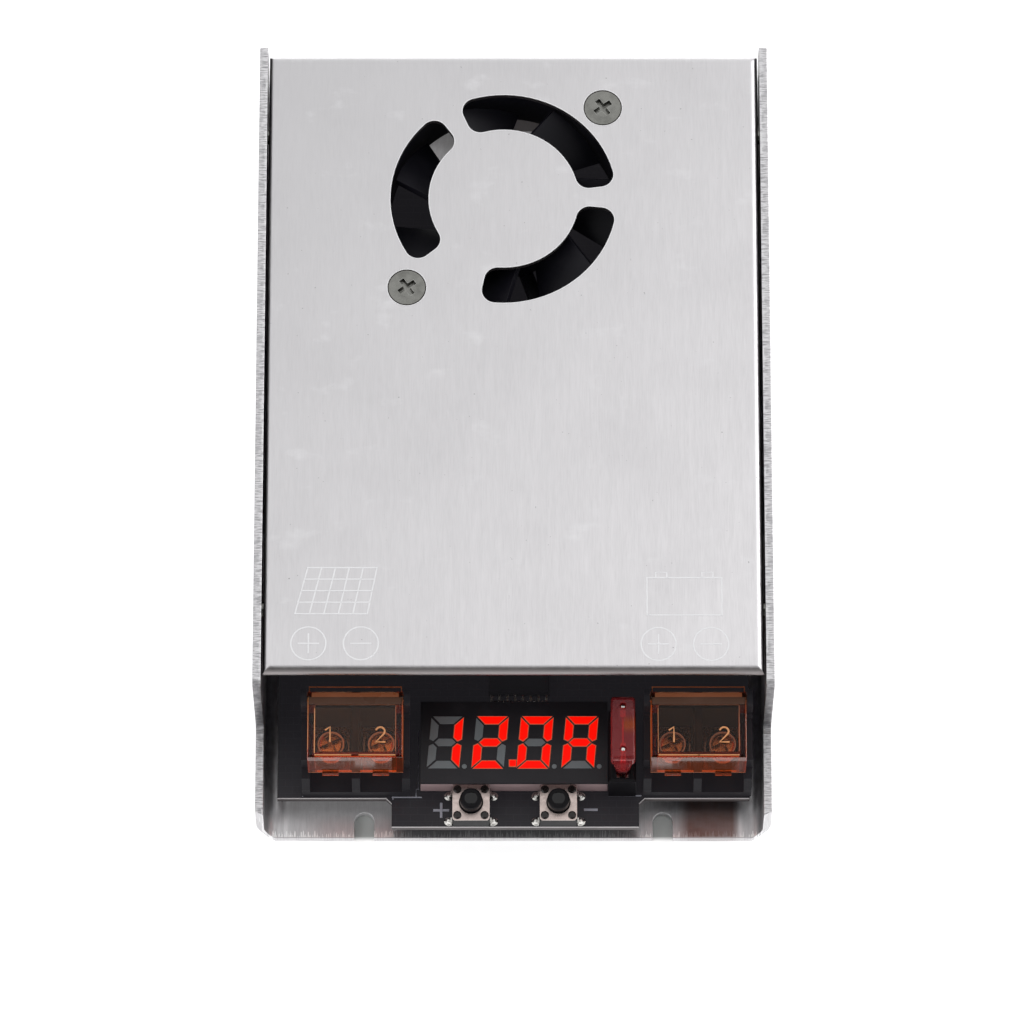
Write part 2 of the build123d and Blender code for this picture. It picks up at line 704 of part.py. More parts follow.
def terminal_cover(x):
    """Clear hinged flap: a shallow box with a hinge barrel along its rear edge."""
    rear = HINGE_Y - 1.2
    flap = block((x - FLAP_HALF, x + FLAP_HALF), (FLAP_FRONT, rear), (FLAP_BOTTOM, FLAP_TOP))
    flap += block((x - FLAP_HALF, x + FLAP_HALF), (rear - 1, HINGE_Y), (FLAP_TOP - 1.1, FLAP_TOP))
    inner = (x - FLAP_HALF + 1.1, x + FLAP_HALF - 1.1)
    flap -= block(inner, (FLAP_FRONT + FLAP_WALL, rear + 0.1), (0, FLAP_TOP - FLAP_WALL))
    front_top = edges_near(flap, Axis.X, y=FLAP_FRONT, z=FLAP_TOP)
    side_top = [
        edge
        for edge in flap.edges().filter_by(Axis.Y)
        if abs(abs(edge.center().X - x) - FLAP_HALF) < 0.01 and edge.center().Z > FLAP_TOP - 0.1
    ]
    flap = fillet(front_top + side_top, 0.35)
    flap += rod((x - FLAP_HALF, x + FLAP_HALF), HINGE_Y, HINGE_Z, 1.0)
    flap += rod((x - FLAP_HALF - 0.85, x + FLAP_HALF + 0.85), HINGE_Y, HINGE_Z, 0.55)
    for offset in (-POLE_PITCH / 2, POLE_PITCH / 2):
        pull = (x + offset - 1.3, x + offset + 1.3)
        flap += block(pull, (FLAP_FRONT - 0.35, FLAP_FRONT + 0.8), (FLAP_BOTTOM - 0.65, FLAP_BOTTOM + 0.5))
    return flap


# ---------------------------------------------------------------- display


def display_housing():
    return block(DISPLAY_X, DISPLAY_Y, (BOARD_TOP, DISPLAY_TOP - FACE_THICK))


def display_face():
    """Dark front of the display."""
    return block(DISPLAY_X, FACE_Y, (DISPLAY_TOP - FACE_THICK, DISPLAY_TOP))


def segment_outlines():
    """Outlines of the seven segments about a digit's centre, before slanting."""
    w, h, t, g = DIGIT_W / 2, DIGIT_H / 2, DIGIT_T, DIGIT_GAP
    bar = [(-w + g, h), (w - g, h), (w - g - t, h - t), (-w + g + t, h - t)]
    side = [(w, h - g), (w, t / 4 + g), (w - t / 2, g), (w - t, t / 2 + g), (w - t, h - t - g)]
    middle = [(w - g - t / 2, 0), (w - g - t, t / 2), (g + t - w, t / 2)]
    middle += [(-x, -y) for x, y in middle]
    return {
        "a": bar,
        "d": [(x, -y) for x, y in bar],
        "b": side,
        "c": [(x, -y) for x, y in side],
        "f": [(-x, y) for x, y in side],
        "e": [(-x, -y) for x, y in side],
        "g": middle,
    }


def display_segments(lit):
    """The segments that glow, or those that don't, as thin inlays."""
    made = []
    for place, glowing in enumerate(LIT):
        x = DIGITS_X + (place - 1.5) * DIGIT_PITCH
        for name, outline in segment_outlines().items():
            if (name in glowing) == lit:
                slanted = [(u + v * DIGIT_SLANT, v) for u, v in outline]
                tile = extrude(make_face(Polyline(*slanted, close=True)), 0.05)
                made.append(Pos(x, back(DIGITS_Y), DISPLAY_TOP) * tile)
        if ("p" in glowing) == lit:
            point_x = x + DIGIT_W / 2 + 0.5
            point_y = DIGITS_Y - DIGIT_H / 2 + 0.35
            layer = (DISPLAY_TOP, DISPLAY_TOP + 0.05)
            if lit:
                span = (point_x, point_x + 1.1)
                made.append(block(span, (point_y, point_y + 1.1), layer))
            else:
                made.append(post(point_x, point_y, layer, 0.4))
    return made


# ---------------------------------------------------------------- buttons

BUTTON_BASE_TOP = BOARD_TOP + 3.1
BUTTON_PLATE_TOP = BUTTON_BASE_TOP + 0.3
BUTTON_TOP = BOARD_TOP + 5.5
STAKE = 2.2


def button_legs():
    """Centres of the buttons' leads."""
    return [
        (x + side * 3.17, BUTTON_Y + end * 2.25)
        for x in BUTTON_XS.values()
        for side in (-1, 1)
        for end in (-1, 1)
    ]


def square(x, half):
    """X and Y limits of a square about a button."""
    return (x - half, x + half), (BUTTON_Y - half, BUTTON_Y + half)


def stakes(x):
    return [(x + a * STAKE, BUTTON_Y + b * STAKE) for a in (-1, 1) for b in (-1, 1)]


def switch_bases():
    """Black bodies with a well for the snap dome and four staked corners."""
    made = []
    for x in BUTTON_XS.values():
        body = block(*square(x, BUTTON_HALF - 0.05), (BOARD_TOP, BUTTON_BASE_TOP))
        body -= post(x, BUTTON_Y, (BOARD_TOP + 1.0, HEIGHT), 2.3)
        for sx, sy in stakes(x):
            body += post(sx, sy, (BUTTON_BASE_TOP, BUTTON_PLATE_TOP + 0.25), 0.55)
        made.append(body)
    return made


def switch_plates():
    """Steel covers folded down two sides."""
    made = []
    for x in BUTTON_XS.values():
        plate = block(*square(x, BUTTON_HALF), (BUTTON_BASE_TOP, BUTTON_PLATE_TOP))
        plate = fillet(plate.edges().filter_by(Axis.Z), 0.5)
        plate -= post(x, BUTTON_Y, (0, HEIGHT), 1.95)
        for sx, sy in stakes(x):
            plate -= post(sx, sy, (0, HEIGHT), 0.57)
        made.append(plate)
    return made


def switch_domes():
    """Spring-steel discs under the plungers."""
    low = BOARD_TOP + 1.0
    profile = [(0, 0.45), (1.1, 0.35), (2.2, 0), (2.2, 0.12), (1.1, 0.47), (0, 0.57)]
    return [turned(profile, x, BUTTON_Y, low) for x in BUTTON_XS.values()]


def switch_pins():
    return [
        block((x - 0.14, x + 0.14), (y - 0.35, y + 0.35), (BOARD_Z - 0.8, BOARD_TOP + 1.4))
        for x, y in button_legs()
    ]


def plunger(x):
    """Round black button with the flange that keeps it under its plate."""
    flange = post(x, BUTTON_Y, (BOARD_TOP + 1.9, BUTTON_BASE_TOP - 0.05), 2.15)
    stem = post(x, BUTTON_Y, (BOARD_TOP + 1.9, BUTTON_TOP), 1.78)
    return flange + fillet(stem.edges().group_by(Axis.Z)[-1], 0.35)


# ---------------------------------------------------------------- fuse


def fuse_blade_ys():
    offset = FUSE_LENGTH / 2 - BLADE_W / 2 - 0.35
    return [FUSE_Y - offset, FUSE_Y + offset]


def fuse_body():
    """Clear body: a rounded head over a slimmer part that narrows towards the blades."""
    x, half = FUSE_THICK / 2, FUSE_LENGTH / 2
    head_x, head_y = (FUSE_X - x, FUSE_X + x), (FUSE_Y - half, FUSE_Y + half)
    head = block(head_x, head_y, (FUSE_TOP - 2.4, FUSE_TOP))
    head = fillet(edges_near(head, Axis.X, z=FUSE_TOP), 0.7)
    head = fillet(head.edges().filter_by(Axis.Z), 0.5)
    wide, narrow = x - 0.2, x - 0.8
    top = FUSE_TOP - 2.3
    outline = Polygon((-wide, top), (wide, top), (narrow, FUSE_BOTTOM), (-narrow, FUSE_BOTTOM), align=None)
    lower = extrude(Plane.XZ * outline, half - 0.2, both=True)
    upright = [edge for edge in lower.edges() if edge.length > 5 and edge.length < 8]
    lower = Pos(FUSE_X, back(FUSE_Y), 0) * fillet(upright, 0.8)
    body = head + lower
    for y in fuse_blade_ys():
        body -= block(blade_x(0.02), (y - BLADE_W / 2 - 0.02, y + BLADE_W / 2 + 0.02), (0, 21.2))
        body -= post(FUSE_X, y, (20, 30), 0.55)
    bridge_y = (fuse_blade_ys()[0], fuse_blade_ys()[1])
    body -= block((FUSE_X - 0.17, FUSE_X + 0.17), bridge_y, (15.6, 19.6))
    return body


def blade_x(room=0.0):
    """X limits of the fuse's blades, with some room each side."""
    return (FUSE_X - BLADE_T / 2 - room, FUSE_X + BLADE_T / 2 + room)


def fuse_element():
    """Two blades joined by the thin strip that melts."""
    low = BOARD_TOP + 0.4
    made = None
    for y in fuse_blade_ys():
        half = BLADE_W / 2
        tip = [(y - half, 9.0), (y - 0.8, low), (y + 0.8, low), (y + half, 9.0)]
        blade = slab(tip + [(y + half, 21.1), (y - half, 21.1)], blade_x())
        made = blade if made is None else made + blade
    strip_x = (FUSE_X - 0.15, FUSE_X + 0.15)
    inner = (fuse_blade_ys()[0] + 1, fuse_blade_ys()[1] - 1)
    strip = block(strip_x, inner, (15.7, 19.5))
    strip -= block((FUSE_X - 1, FUSE_X + 1), (inner[0] + 1.2, inner[1] - 1.2), (0, 18.2))
    return made + strip


def fuse_holder():
    """Slim black socket that takes both blades."""
    body = block((FUSE_X - 2.2, FUSE_X + 2.2), (FUSE_Y - 6.1, FUSE_Y + 6.1), (BOARD_TOP, FUSE_BOTTOM - 0.1))
    body = chamfer(body.edges().group_by(Axis.Z)[-1], 0.4)
    for y in fuse_blade_ys():
        body -= block((FUSE_X - 1.25, FUSE_X + 1.25), (y - 1.8, y + 1.8), (BOARD_TOP, 20))
    return body


def fuse_contacts():
    """Forked springs that grip the blades, each with a leg through the board."""
    made = []
    for y in fuse_blade_ys():
        span = (y - 1.5, y + 1.5)
        fork = block((FUSE_X - 0.95, FUSE_X + 0.95), span, (BOARD_TOP, 13.4))
        fork -= block((FUSE_X - 0.45, FUSE_X + 0.45), (y - 2, y + 2), (BOARD_TOP + 0.3, 20))
        fork += block((FUSE_X - 0.4, FUSE_X + 0.4), (y - 0.4, y + 0.4), (BOARD_Z - 0.6, BOARD_TOP + 0.3))
        made.append(fork)
    return made


# ---------------------------------------------------------------- write


def all_nodes():
    """Every sub-part by its node name; a list is a node of separate solids."""
    nodes = {
        "base_chassis": base_chassis(),
        "top_cover": top_cover(),
        "cover_screws": cover_screws(),
        "insulating_sheet": insulating_sheet(),
        "fan_frame": fan_frame(),
        "fan_bearing": fan_bearing(),
        "fan_stator": fan_stator(),
        "fan_coils": fan_coils(),
        "fan_magnet": fan_magnet(),
        "fan_shaft": fan_shaft(),
        "fan_rotor": fan_rotor(),
        "fan_screws": fan_screws(),
        "fan_nuts": fan_nuts(),
        "fan_plug": fan_plug(),
        "fan_header": fan_header(),
        "main_pcb": main_pcb(),
        "pcb_standoffs": pcb_standoffs(),
        "pcb_screws": pcb_screws(),
        "chips": chips(),
        "chip_pins": chip_pins(),
        "capacitor_cans": capacitor_cans(),
        "capacitor_sleeves": capacitor_sleeves(),
        "inductor_core": inductor_core(),
        "inductor_winding": inductor_winding(),
        "thermal_pads": thermal_pads(),
        "power_tabs": power_tabs(),
        "power_bodies": power_bodies(),
        "power_leads": power_leads(),
        "power_screws": power_screws(),
        "power_nuts": power_nuts(),
        "shunt_resistor": shunt_resistor(),
        "terminal_housings": terminal_housings(),
        "terminal_contacts": terminal_contacts(),
        "display_housing": display_housing(),
        "display_face": display_face(),
        "display_segments_lit": display_segments(True),
        "display_segments_unlit": display_segments(False),
        "switch_bases": switch_bases(),
        "switch_plates": switch_plates(),
        "switch_domes": switch_domes(),
        "switch_pins": switch_pins(),
        "fuse_holder": fuse_holder(),
        "fuse_contacts": fuse_contacts(),
        "fuse_body": fuse_body(),
        "fuse_element": fuse_element(),
    }
    for name, y in LEAD_Y.items():
        nodes["fan_lead_" + name] = fan_lead(y)
    for name, x in BUTTON_XS.items():
        nodes["button_" + name] = plunger(x)
    for name, x in BLOCK_XS.items():
        nodes["terminal_cover_" + name] = terminal_cover(x)
    for number, x in enumerate(pole_xs(), start=1):
        nodes[f"clamp_plate_{number}"] = clamp_plate(x)
        nodes[f"terminal_screw_{number}"] = terminal_screw(x)
    return nodes


os.makedirs("parts", exist_ok=True)
for node_name, shape in all_nodes().items():
    if isinstance(shape, list):
        shape = Compound(children=shape)
    export_step(shape, f"parts/{node_name}.step")
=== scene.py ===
"""Looks for the solar charge controller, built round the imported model.

Lengths in this file are millimetres, apart from the floor's size and the lamps' sizes and places,
which are metres. Places give y as the distance behind the front edge of the chassis, and at() turns
them into Blender's metres in the model's frame.
"""

import json
import math

import bmesh
import bpy
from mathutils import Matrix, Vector


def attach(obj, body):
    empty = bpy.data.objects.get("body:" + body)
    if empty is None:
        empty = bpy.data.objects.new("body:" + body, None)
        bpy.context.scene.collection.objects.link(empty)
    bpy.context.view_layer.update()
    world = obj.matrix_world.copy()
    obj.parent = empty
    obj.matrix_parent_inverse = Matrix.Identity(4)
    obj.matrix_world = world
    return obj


MM = 0.001
X, Y, Z = range(3)
HALF_LENGTH = 64.0
COVER_TOP = 30.0
BOARD_TOP = 7.0
WALL_INNER = 40.4  # how far out the inner faces of the side walls are
INK = 0.012  # thickness of a printed mark
WELD = 0.002 * MM  # vertices closer than this are one
FAN_CENTRE = (-1.35, 100.8)
FAN_SCREWS = [(FAN_CENTRE[0] + step, FAN_CENTRE[1] + step) for step in (16.0, -16.0)]
FUSE_X = 17.55

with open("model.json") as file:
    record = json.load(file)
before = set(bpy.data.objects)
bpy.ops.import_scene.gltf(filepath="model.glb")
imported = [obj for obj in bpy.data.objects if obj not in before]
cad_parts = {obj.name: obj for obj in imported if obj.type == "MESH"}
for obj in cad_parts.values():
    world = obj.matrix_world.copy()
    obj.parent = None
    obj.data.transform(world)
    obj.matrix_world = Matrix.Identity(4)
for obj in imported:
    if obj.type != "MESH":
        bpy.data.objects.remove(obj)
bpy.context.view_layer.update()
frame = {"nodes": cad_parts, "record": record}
nodes = frame["nodes"]


def at(x, y, z):
    """Millimetres, with y from the front edge, to a point in metres."""
    return Vector((x, y - HALF_LENGTH, z)) * MM


def srgb(r, g, b):
    """Colour from 0-255 display values."""
    linear = [v / 255 / 12.92 if v <= 10 else ((v / 255 + 0.055) / 1.055) ** 2.4 for v in (r, g, b)]
    return (*linear, 1.0)


# ---------------------------------------------------------------- materials


class Finish:
    """A node material with short calls for the nodes that the finishes share."""

    def __init__(self, name, color, roughness, metallic=0.0, **sockets):
        self.material = bpy.data.materials.new(name)
        self.material.use_nodes = True
        self.tree = self.material.node_tree
        self.shader = self.tree.nodes["Principled BSDF"]
        self.color = color
        self.set("Base Color", color)
        self.set("Roughness", roughness)
        self.set("Metallic", metallic)
        for key, value in sockets.items():
            self.set(key.replace("_", " "), value)
        self.place = self.add("TexCoord").outputs["Object"]

    def link(self, socket, value):
        if isinstance(value, bpy.types.NodeSocket):
            self.tree.links.new(value, socket)
        else:
            socket.default_value = value

    def set(self, key, value):
        self.link(self.shader.inputs[key], value)

    def add(self, kind, inputs=(), **settings):
        node = self.tree.nodes.new("ShaderNode" + kind)
        for key, value in settings.items():
            setattr(node, key, value)
        for key, value in dict(inputs).items():
            self.link(node.inputs[key], value)
        return node

    def math(self, operation, a, b=0.0):
        return self.add("Math", {0: a, 1: b}, operation=operation).outputs[0]

    def noise(self, size, detail=3.0, stretch=(1, 1, 1), seed=0.0):
        """Soft noise from 0 to 1 with features about size millimetres across, longer along stretch."""
        scale = [1.0 / (size * MM * s) for s in stretch]
        where = self.add("Mapping", {"Vector": self.place, "Scale": scale, "Location": (seed, seed, seed)})
        inputs = {"Vector": where.outputs[0], "Scale": 1.0, "Detail": detail, "Roughness": 0.55}
        return self.add("TexNoise", inputs).outputs[0]

    def span(self, value, low, high, out_low=0.0, out_high=1.0):
        """Maps low..high to out_low..out_high, clamped."""
        inputs = {"Value": value, "From Min": low, "From Max": high, "To Min": out_low, "To Max": out_high}
        return self.add("MapRange", inputs).outputs[0]

    def blend(self, amount, a, b):
        node = self.add("Mix", data_type="RGBA")
        self.link(node.inputs[0], amount)
        self.link(node.inputs[6], a)
        self.link(node.inputs[7], b)
        return node.outputs[2]

    def tint(self, amount, color):
        """Blends the base colour towards another where amount is 1."""
        self.color = self.blend(amount, self.color, color)
        self.set("Base Color", self.color)

    def relief(self, height, depth, strength=1.0, edge=0.0):
        """Bump of a depth in millimetres, over edges rounded by a radius in millimetres."""
        bump = self.add("Bump", {"Height": height, "Distance": depth * MM, "Strength": strength})
        if edge:
            self.link(bump.inputs["Normal"], self.rounded(edge))
        self.set("Normal", bump.outputs[0])

    def rounded(self, radius):
        return self.add("Bevel", {"Radius": radius * MM}, samples=4).outputs[0]

    def edges(self, radius, low=0.02, high=0.25):
        """1 along sharp edges, from how far a rounded normal turns from the true one."""
        true = self.add("NewGeometry").outputs["Normal"]
        dot = self.add("VectorMath", {0: self.rounded(radius), 1: true}, operation="DOT_PRODUCT")
        return self.span(self.math("SUBTRACT", 1.0, dot.outputs["Value"]), low, high)

    def axis(self, index):
        """Coordinate along an axis of the object, in metres."""
        return self.add("SeparateXYZ", {0: self.place}).outputs[index]

    def along(self, index, low, high, out_low=0.0, out_high=1.0):
        """Maps the stretch low..high of an axis, in at()'s millimetres, to out_low..out_high."""
        start = HALF_LENGTH if index == Y else 0.0
        return self.span(self.axis(index), (low - start) * MM, (high - start) * MM, out_low, out_high)

    def normal_axis(self, index):
        normal = self.add("NewGeometry").outputs["True Normal"]
        return self.add("SeparateXYZ", {0: normal}).outputs[index]

    def facing(self, index, low, high):
        """1 where the surface faces either way along an axis, from the size of its normal there."""
        return self.span(self.math("ABSOLUTE", self.normal_axis(index)), low, high)

    def product(self, *values):
        """Values multiplied together."""
        total = values[0]
        for value in values[1:]:
            total = self.math("MULTIPLY", total, value)
        return total


def brushed_sheet(name, color, grain, dull):
    """Rolled aluminium: fine grain along Y, cloudy stains, tiny pits and bright worn edges."""
    skin = Finish(name, color, 0.4, metallic=1.0)
    fine = skin.noise(0.17, 2.0, stretch=(1, 15, 15))
    broad = skin.noise(0.7, 3.0, stretch=(1, 12, 12), seed=7.0)
    cloud = skin.noise(16.0, 4.0, seed=3.0)
    pits = skin.noise(0.8, 2.0, seed=11.0)
    dark = tuple(c * dull for c in color[:3]) + (1.0,)
    light = tuple(min(1.0, c * 1.12) for c in color[:3]) + (1.0,)
    skin.tint(skin.span(fine, 0.35, 0.75, 0.0, grain), dark)
    skin.tint(skin.span(broad, 0.45, 0.8, 0.0, grain), light)
    skin.tint(skin.span(cloud, 0.48, 0.75, 0.0, 0.35), dark)
    skin.tint(skin.span(pits, 0.74, 0.8, 0.0, 0.35), dark)
    worn = skin.edges(0.35)
    skin.tint(skin.product(worn, 0.7), srgb(240, 240, 242))
    rough = skin.math("ADD", skin.span(fine, 0.3, 0.7, 0.30, 0.44), skin.span(cloud, 0.4, 0.7, 0.0, 0.08))
    skin.set("Roughness", rough)
    skin.relief(skin.math("ADD", fine, skin.product(pits, 0.3)), 0.006, 0.5, edge=0.2)
    return skin


def cover_sheet():
    """The lid: brushed sheet with painted shade towards the rear left, smears, specks, and painted shade
    on the lip and on the side flanges.
    """
    skin = brushed_sheet("cover_aluminium", srgb(225, 223, 225), 0.55, 0.88)
    # painted shade: the lid darker towards the rear and the left
    across = skin.along(X, -40, 40, 0.75, 0.0)
    back = skin.along(Y, 24, 124, 0.0, 0.8)
    skin.tint(skin.product(skin.math("ADD", across, back), 0.62), srgb(196, 195, 197))
    smear = skin.noise(5.0, 5.0, stretch=(1.6, 1, 1), seed=31.0)
    skin.tint(skin.span(smear, 0.60, 0.76, 0.0, 0.35), srgb(236, 236, 238))
    speck = skin.noise(0.55, 1.0, seed=41.0)
    skin.tint(skin.span(speck, 0.79, 0.82, 0.0, 0.6), srgb(132, 130, 132))
    # painted shade on the lip and its bend, which face the front
    skin.tint(skin.span(skin.normal_axis(Y), -0.5, -0.2, 1.0, 0.0), srgb(146, 141, 141))
    # painted shade on the outer faces of the side flanges, close beside the walls
    skin.tint(skin.product(skin.facing(X, 0.7, 0.95), 0.85), srgb(52, 50, 52))
    return skin


def sheared_edge(skin):
    """Paints the cut edges of the side walls: grey sheared metal, painted shade on the cut faces that face
    front or back, and a bright burr on the inside.
    """
    hatch = skin.noise(0.20, 3.0, stretch=(9, 1, 1), seed=5.0)
    blotch = skin.noise(1.6, 3.0, seed=15.0)
    level = skin.math("ABSOLUTE", skin.normal_axis(X))
    flat = skin.span(level, 0.2, 0.4, 1.0, 0.0)
    offset = skin.math("ABSOLUTE", skin.axis(X))
    cut = skin.product(flat, skin.span(offset, (WALL_INNER - 0.04) * MM, WALL_INNER * MM))
    skin.tint(cut, srgb(216, 215, 217))
    skin.tint(skin.product(cut, skin.span(hatch, 0.46, 0.60, 0.0, 0.8)), srgb(138, 137, 140))
    skin.tint(skin.product(cut, skin.span(blotch, 0.5, 0.65, 0.0, 0.55)), srgb(158, 157, 160))
    wander = skin.math("ADD", offset, skin.span(blotch, 0.3, 0.7, -0.22 * MM, 0.22 * MM))
    burr_range = ((WALL_INNER + 0.35) * MM, (WALL_INNER + 0.5) * MM)
    burr = skin.product(cut, skin.span(wander, *burr_range, 1.0, 0.0))
    skin.tint(skin.product(burr, skin.span(blotch, 0.45, 0.6, 0.0, 0.5)), srgb(244, 244, 244))
    # painted shade, mottled, on the cut faces that face front or back
    end_face_shade = skin.product(cut, skin.facing(Y, 0.6, 0.8), skin.span(blotch, 0.35, 0.6, 0.4, 0.9))
    skin.tint(end_face_shade, srgb(112, 111, 114))


def front_burrs(skin, faint):
    """Paints scratches of uneven length back from the floor's front edge, weaker where faint is 1."""
    blade = skin.noise(0.21, 1.5, stretch=(1, 90, 90), seed=21.0)
    reach = skin.span(blade, 0.40, 0.66, (-0.1 - HALF_LENGTH) * MM, (1.3 - HALF_LENGTH) * MM)
    inside = skin.math("LESS_THAN", skin.axis(Y), reach)
    shown = skin.span(faint, 0.0, 1.0, 0.9, 0.12)
    skin.tint(skin.product(inside, shown), srgb(252, 252, 252))
    skin.tint(skin.along(Y, 0.15, 0.30, 0.8, 0.0), srgb(205, 203, 205))


def floor_marks(skin):
    """Paints the floor before the board, and returns where its painted dark reflection is.

    The painted dark reflection is a brownish area at the right. The rest has mottled painted shade
    that deepens towards the board, painted reflections of the walls along the creases and, at the left
    and in the middle, painted light, a faint glow.
    """
    low = skin.along(Z, 3.0, 4.2, 1.0, 0.0)
    # painted dark reflection: a brownish area of the floor at the right
    painted_reflection = skin.product(skin.along(X, 26.5, 28.5), skin.along(X, 35.5, 36.8, 1.0, 0.0), low)
    reflection_mottle = skin.noise(2.2, 4.0, stretch=(2.2, 1, 1), seed=17.0)
    skin.tint(skin.product(painted_reflection, skin.span(reflection_mottle, 0.25, 0.7, 1.0, 0.8)), srgb(132, 104, 98))
    mottle = skin.noise(1.2, 4.0, stretch=(1, 1.6, 1), seed=19.0)
    near = skin.along(Y, 1.5, 5.5)
    # painted shade: mottled darkening that deepens towards the board's front edge
    dull = skin.product(low, near, skin.span(mottle, 0.35, 0.7, 0.0, 0.40))
    skin.tint(dull, srgb(148, 142, 144))
    # painted light: a faint glow on the floor at the left and in the middle
    lit = skin.product(low, skin.along(X, 12, 26, 1.0, 0.0), skin.along(X, -37.6, -36.6))
    skin.set("Emission Color", srgb(248, 246, 247))
    skin.set("Emission Strength", skin.product(lit, near, 0.12))
    offset = skin.math("ABSOLUTE", skin.axis(X))
    rise, fall = (36.2 * MM, 36.7 * MM), (36.9 * MM, 37.4 * MM)
    # painted reflection of the walls: bright streaks along the floor's creases
    crease = skin.product(skin.span(offset, *rise), skin.span(offset, *fall, 1.0, 0.0), low)
    streak = skin.span(skin.noise(1.5, 3.0, stretch=(1, 8, 1), seed=23.0), 0.35, 0.6, 0.25, 0.8)
    skin.tint(skin.product(crease, streak), srgb(244, 242, 244))
    return painted_reflection


def shaded_gap(skin):
    """Darkens the inner faces of the walls from the lid's front edge back, where it is close."""
    offset = skin.math("ABSOLUTE", skin.axis(X))
    not_outer = skin.span(offset, (WALL_INNER + 0.6) * MM, (WALL_INNER + 0.9) * MM, 1.0, 0.0)
    inner = skin.product(skin.facing(X, 0.8, 0.95), not_outer)
    beside = skin.product(skin.along(Y, 17.8, 18.2), skin.along(Z, 24, 27))
    skin.tint(skin.product(inner, beside, 0.92), srgb(36, 34, 36))


def chassis_sheet():
    """The brushed sheet, with sheared ends, a floor with painted shade, light and reflections, and bright
    front burrs.
    """
    skin = brushed_sheet("chassis_aluminium", srgb(209, 208, 210), 0.5, 0.72)
    painted_reflection = floor_marks(skin)
    shaded_gap(skin)
    sheared_edge(skin)
    front_burrs(skin, painted_reflection)
    return skin


def plated(name, color, rough=0.28, dirt=0.6, ripple=0.35):
    """Plated steel or tin: small ripples, dull film in the hollows and bright edges."""
    skin = Finish(name, color, rough, metallic=1.0)
    film = skin.noise(1.6, 4.0)
    fine = skin.noise(0.25, 3.0, seed=4.0)
    dark = tuple(c * dirt for c in color[:3]) + (1.0,)
    skin.tint(skin.span(film, 0.42, 0.75, 0.0, 0.7), dark)
    skin.tint(skin.product(skin.edges(0.12), 0.6), srgb(245, 245, 242))
    skin.set("Roughness", skin.span(fine, 0.3, 0.7, rough * 0.7, rough * 1.5))
    skin.relief(fine, 0.02, ripple, edge=0.08)
    return skin


# painted fill light: STRAY is the colour of a faint glow that lifts blacks in shade
STRAY = srgb(238, 232, 250)  # light that fills the blacks inside the case


def moulded(name, color, rough=0.42, grain=0.03, sheen=1.6, gloss=0.28, stray=0.0):
    """Moulded plastic: fine spark-eroded grain, faint dust and slightly polished edges."""
    skin = Finish(name, color, rough, Specular_IOR_Level=gloss)
    # stray: painted fill light, a faint glow that lifts dark plastic in shade
    skin.set("Emission Color", STRAY)
    skin.set("Emission Strength", stray)
    grainy = skin.noise(0.22, 3.0)
    dust = skin.noise(4.0, 5.0, seed=9.0)
    pale = tuple(min(1.0, c * sheen + 0.01) for c in color[:3]) + (1.0,)
    skin.tint(skin.span(dust, 0.5, 0.8, 0.0, 0.4), pale)
    skin.tint(skin.product(skin.edges(0.15), 0.5), pale)
    skin.set("Roughness", skin.span(dust, 0.3, 0.8, rough * 0.85, rough * 1.25))
    skin.relief(grainy, grain, 0.3, edge=0.1)
    return skin


def clear(name, surface, lamp, depth, density, cloud=0.0):
    """Clear tinted plastic, deeper in colour where it is thick, that tints the light of lamps.

    cloud is how milky it is, from 0 to 1.
    """
    skin = Finish(name, surface, 0.0, Transmission_Weight=1.0 - cloud, IOR=1.49, Specular_IOR_Level=0.2)
    flow = skin.noise(3.0, 3.0, stretch=(1, 2, 1))
    scratch = skin.noise(0.10, 2.0, stretch=(1, 18, 1), seed=2.0)
    skin.tint(skin.span(flow, 0.35, 0.75, 0.0, 0.5), lamp)
    skin.set("Roughness", skin.span(scratch, 0.66, 0.8, 0.0, 0.08))
    veil = skin.add("BsdfTransparent", {"Color": lamp})
    shadow = skin.add("LightPath").outputs["Is Shadow Ray"]
    mixed = skin.add("MixShader", {0: shadow, 1: skin.shader.outputs[0], 2: veil.outputs[0]})
    output = skin.tree.nodes["Material Output"]
    skin.link(output.inputs["Surface"], mixed.outputs[0])
    tinted = skin.add("VolumeAbsorption", {"Color": depth, "Density": density})
    skin.link(output.inputs["Volume"], tinted.outputs[0])
    return skin


def fuse_plastic():
    """Clouded red plastic with a warm middle, sunk in shadow at its foot."""
    skin = clear("fuse_red", srgb(198, 54, 58), srgb(240, 130, 130), srgb(250, 60, 70), 520.0, 0.22)
    skin.set("Specular Tint", srgb(216, 186, 190))
    off = skin.math("DIVIDE", skin.math("SUBTRACT", skin.axis(X), FUSE_X * MM), MM)
    bowl = skin.product(off, off, 0.6 * MM)
    depth = skin.math("SUBTRACT", skin.axis(Z), bowl)
    skin.tint(skin.span(depth, 15.6 * MM, 16.8 * MM, 0.95, 0.0), srgb(28, 12, 14))
    skin.tint(skin.along(Y, 14.0, 15.5, 0.0, 0.45), srgb(116, 52, 62))
    from_link = skin.math("ABSOLUTE", skin.math("SUBTRACT", skin.axis(Y), (11.8 - HALF_LENGTH) * MM))
    beside_link = skin.span(from_link, 0.4 * MM, 1.6 * MM, 1.0, 0.0)
    glow = skin.product(beside_link, skin.span(off, -0.1, 0.3), skin.along(Z, 22.4, 22.9))
    skin.tint(glow, srgb(250, 110, 40))
    return skin


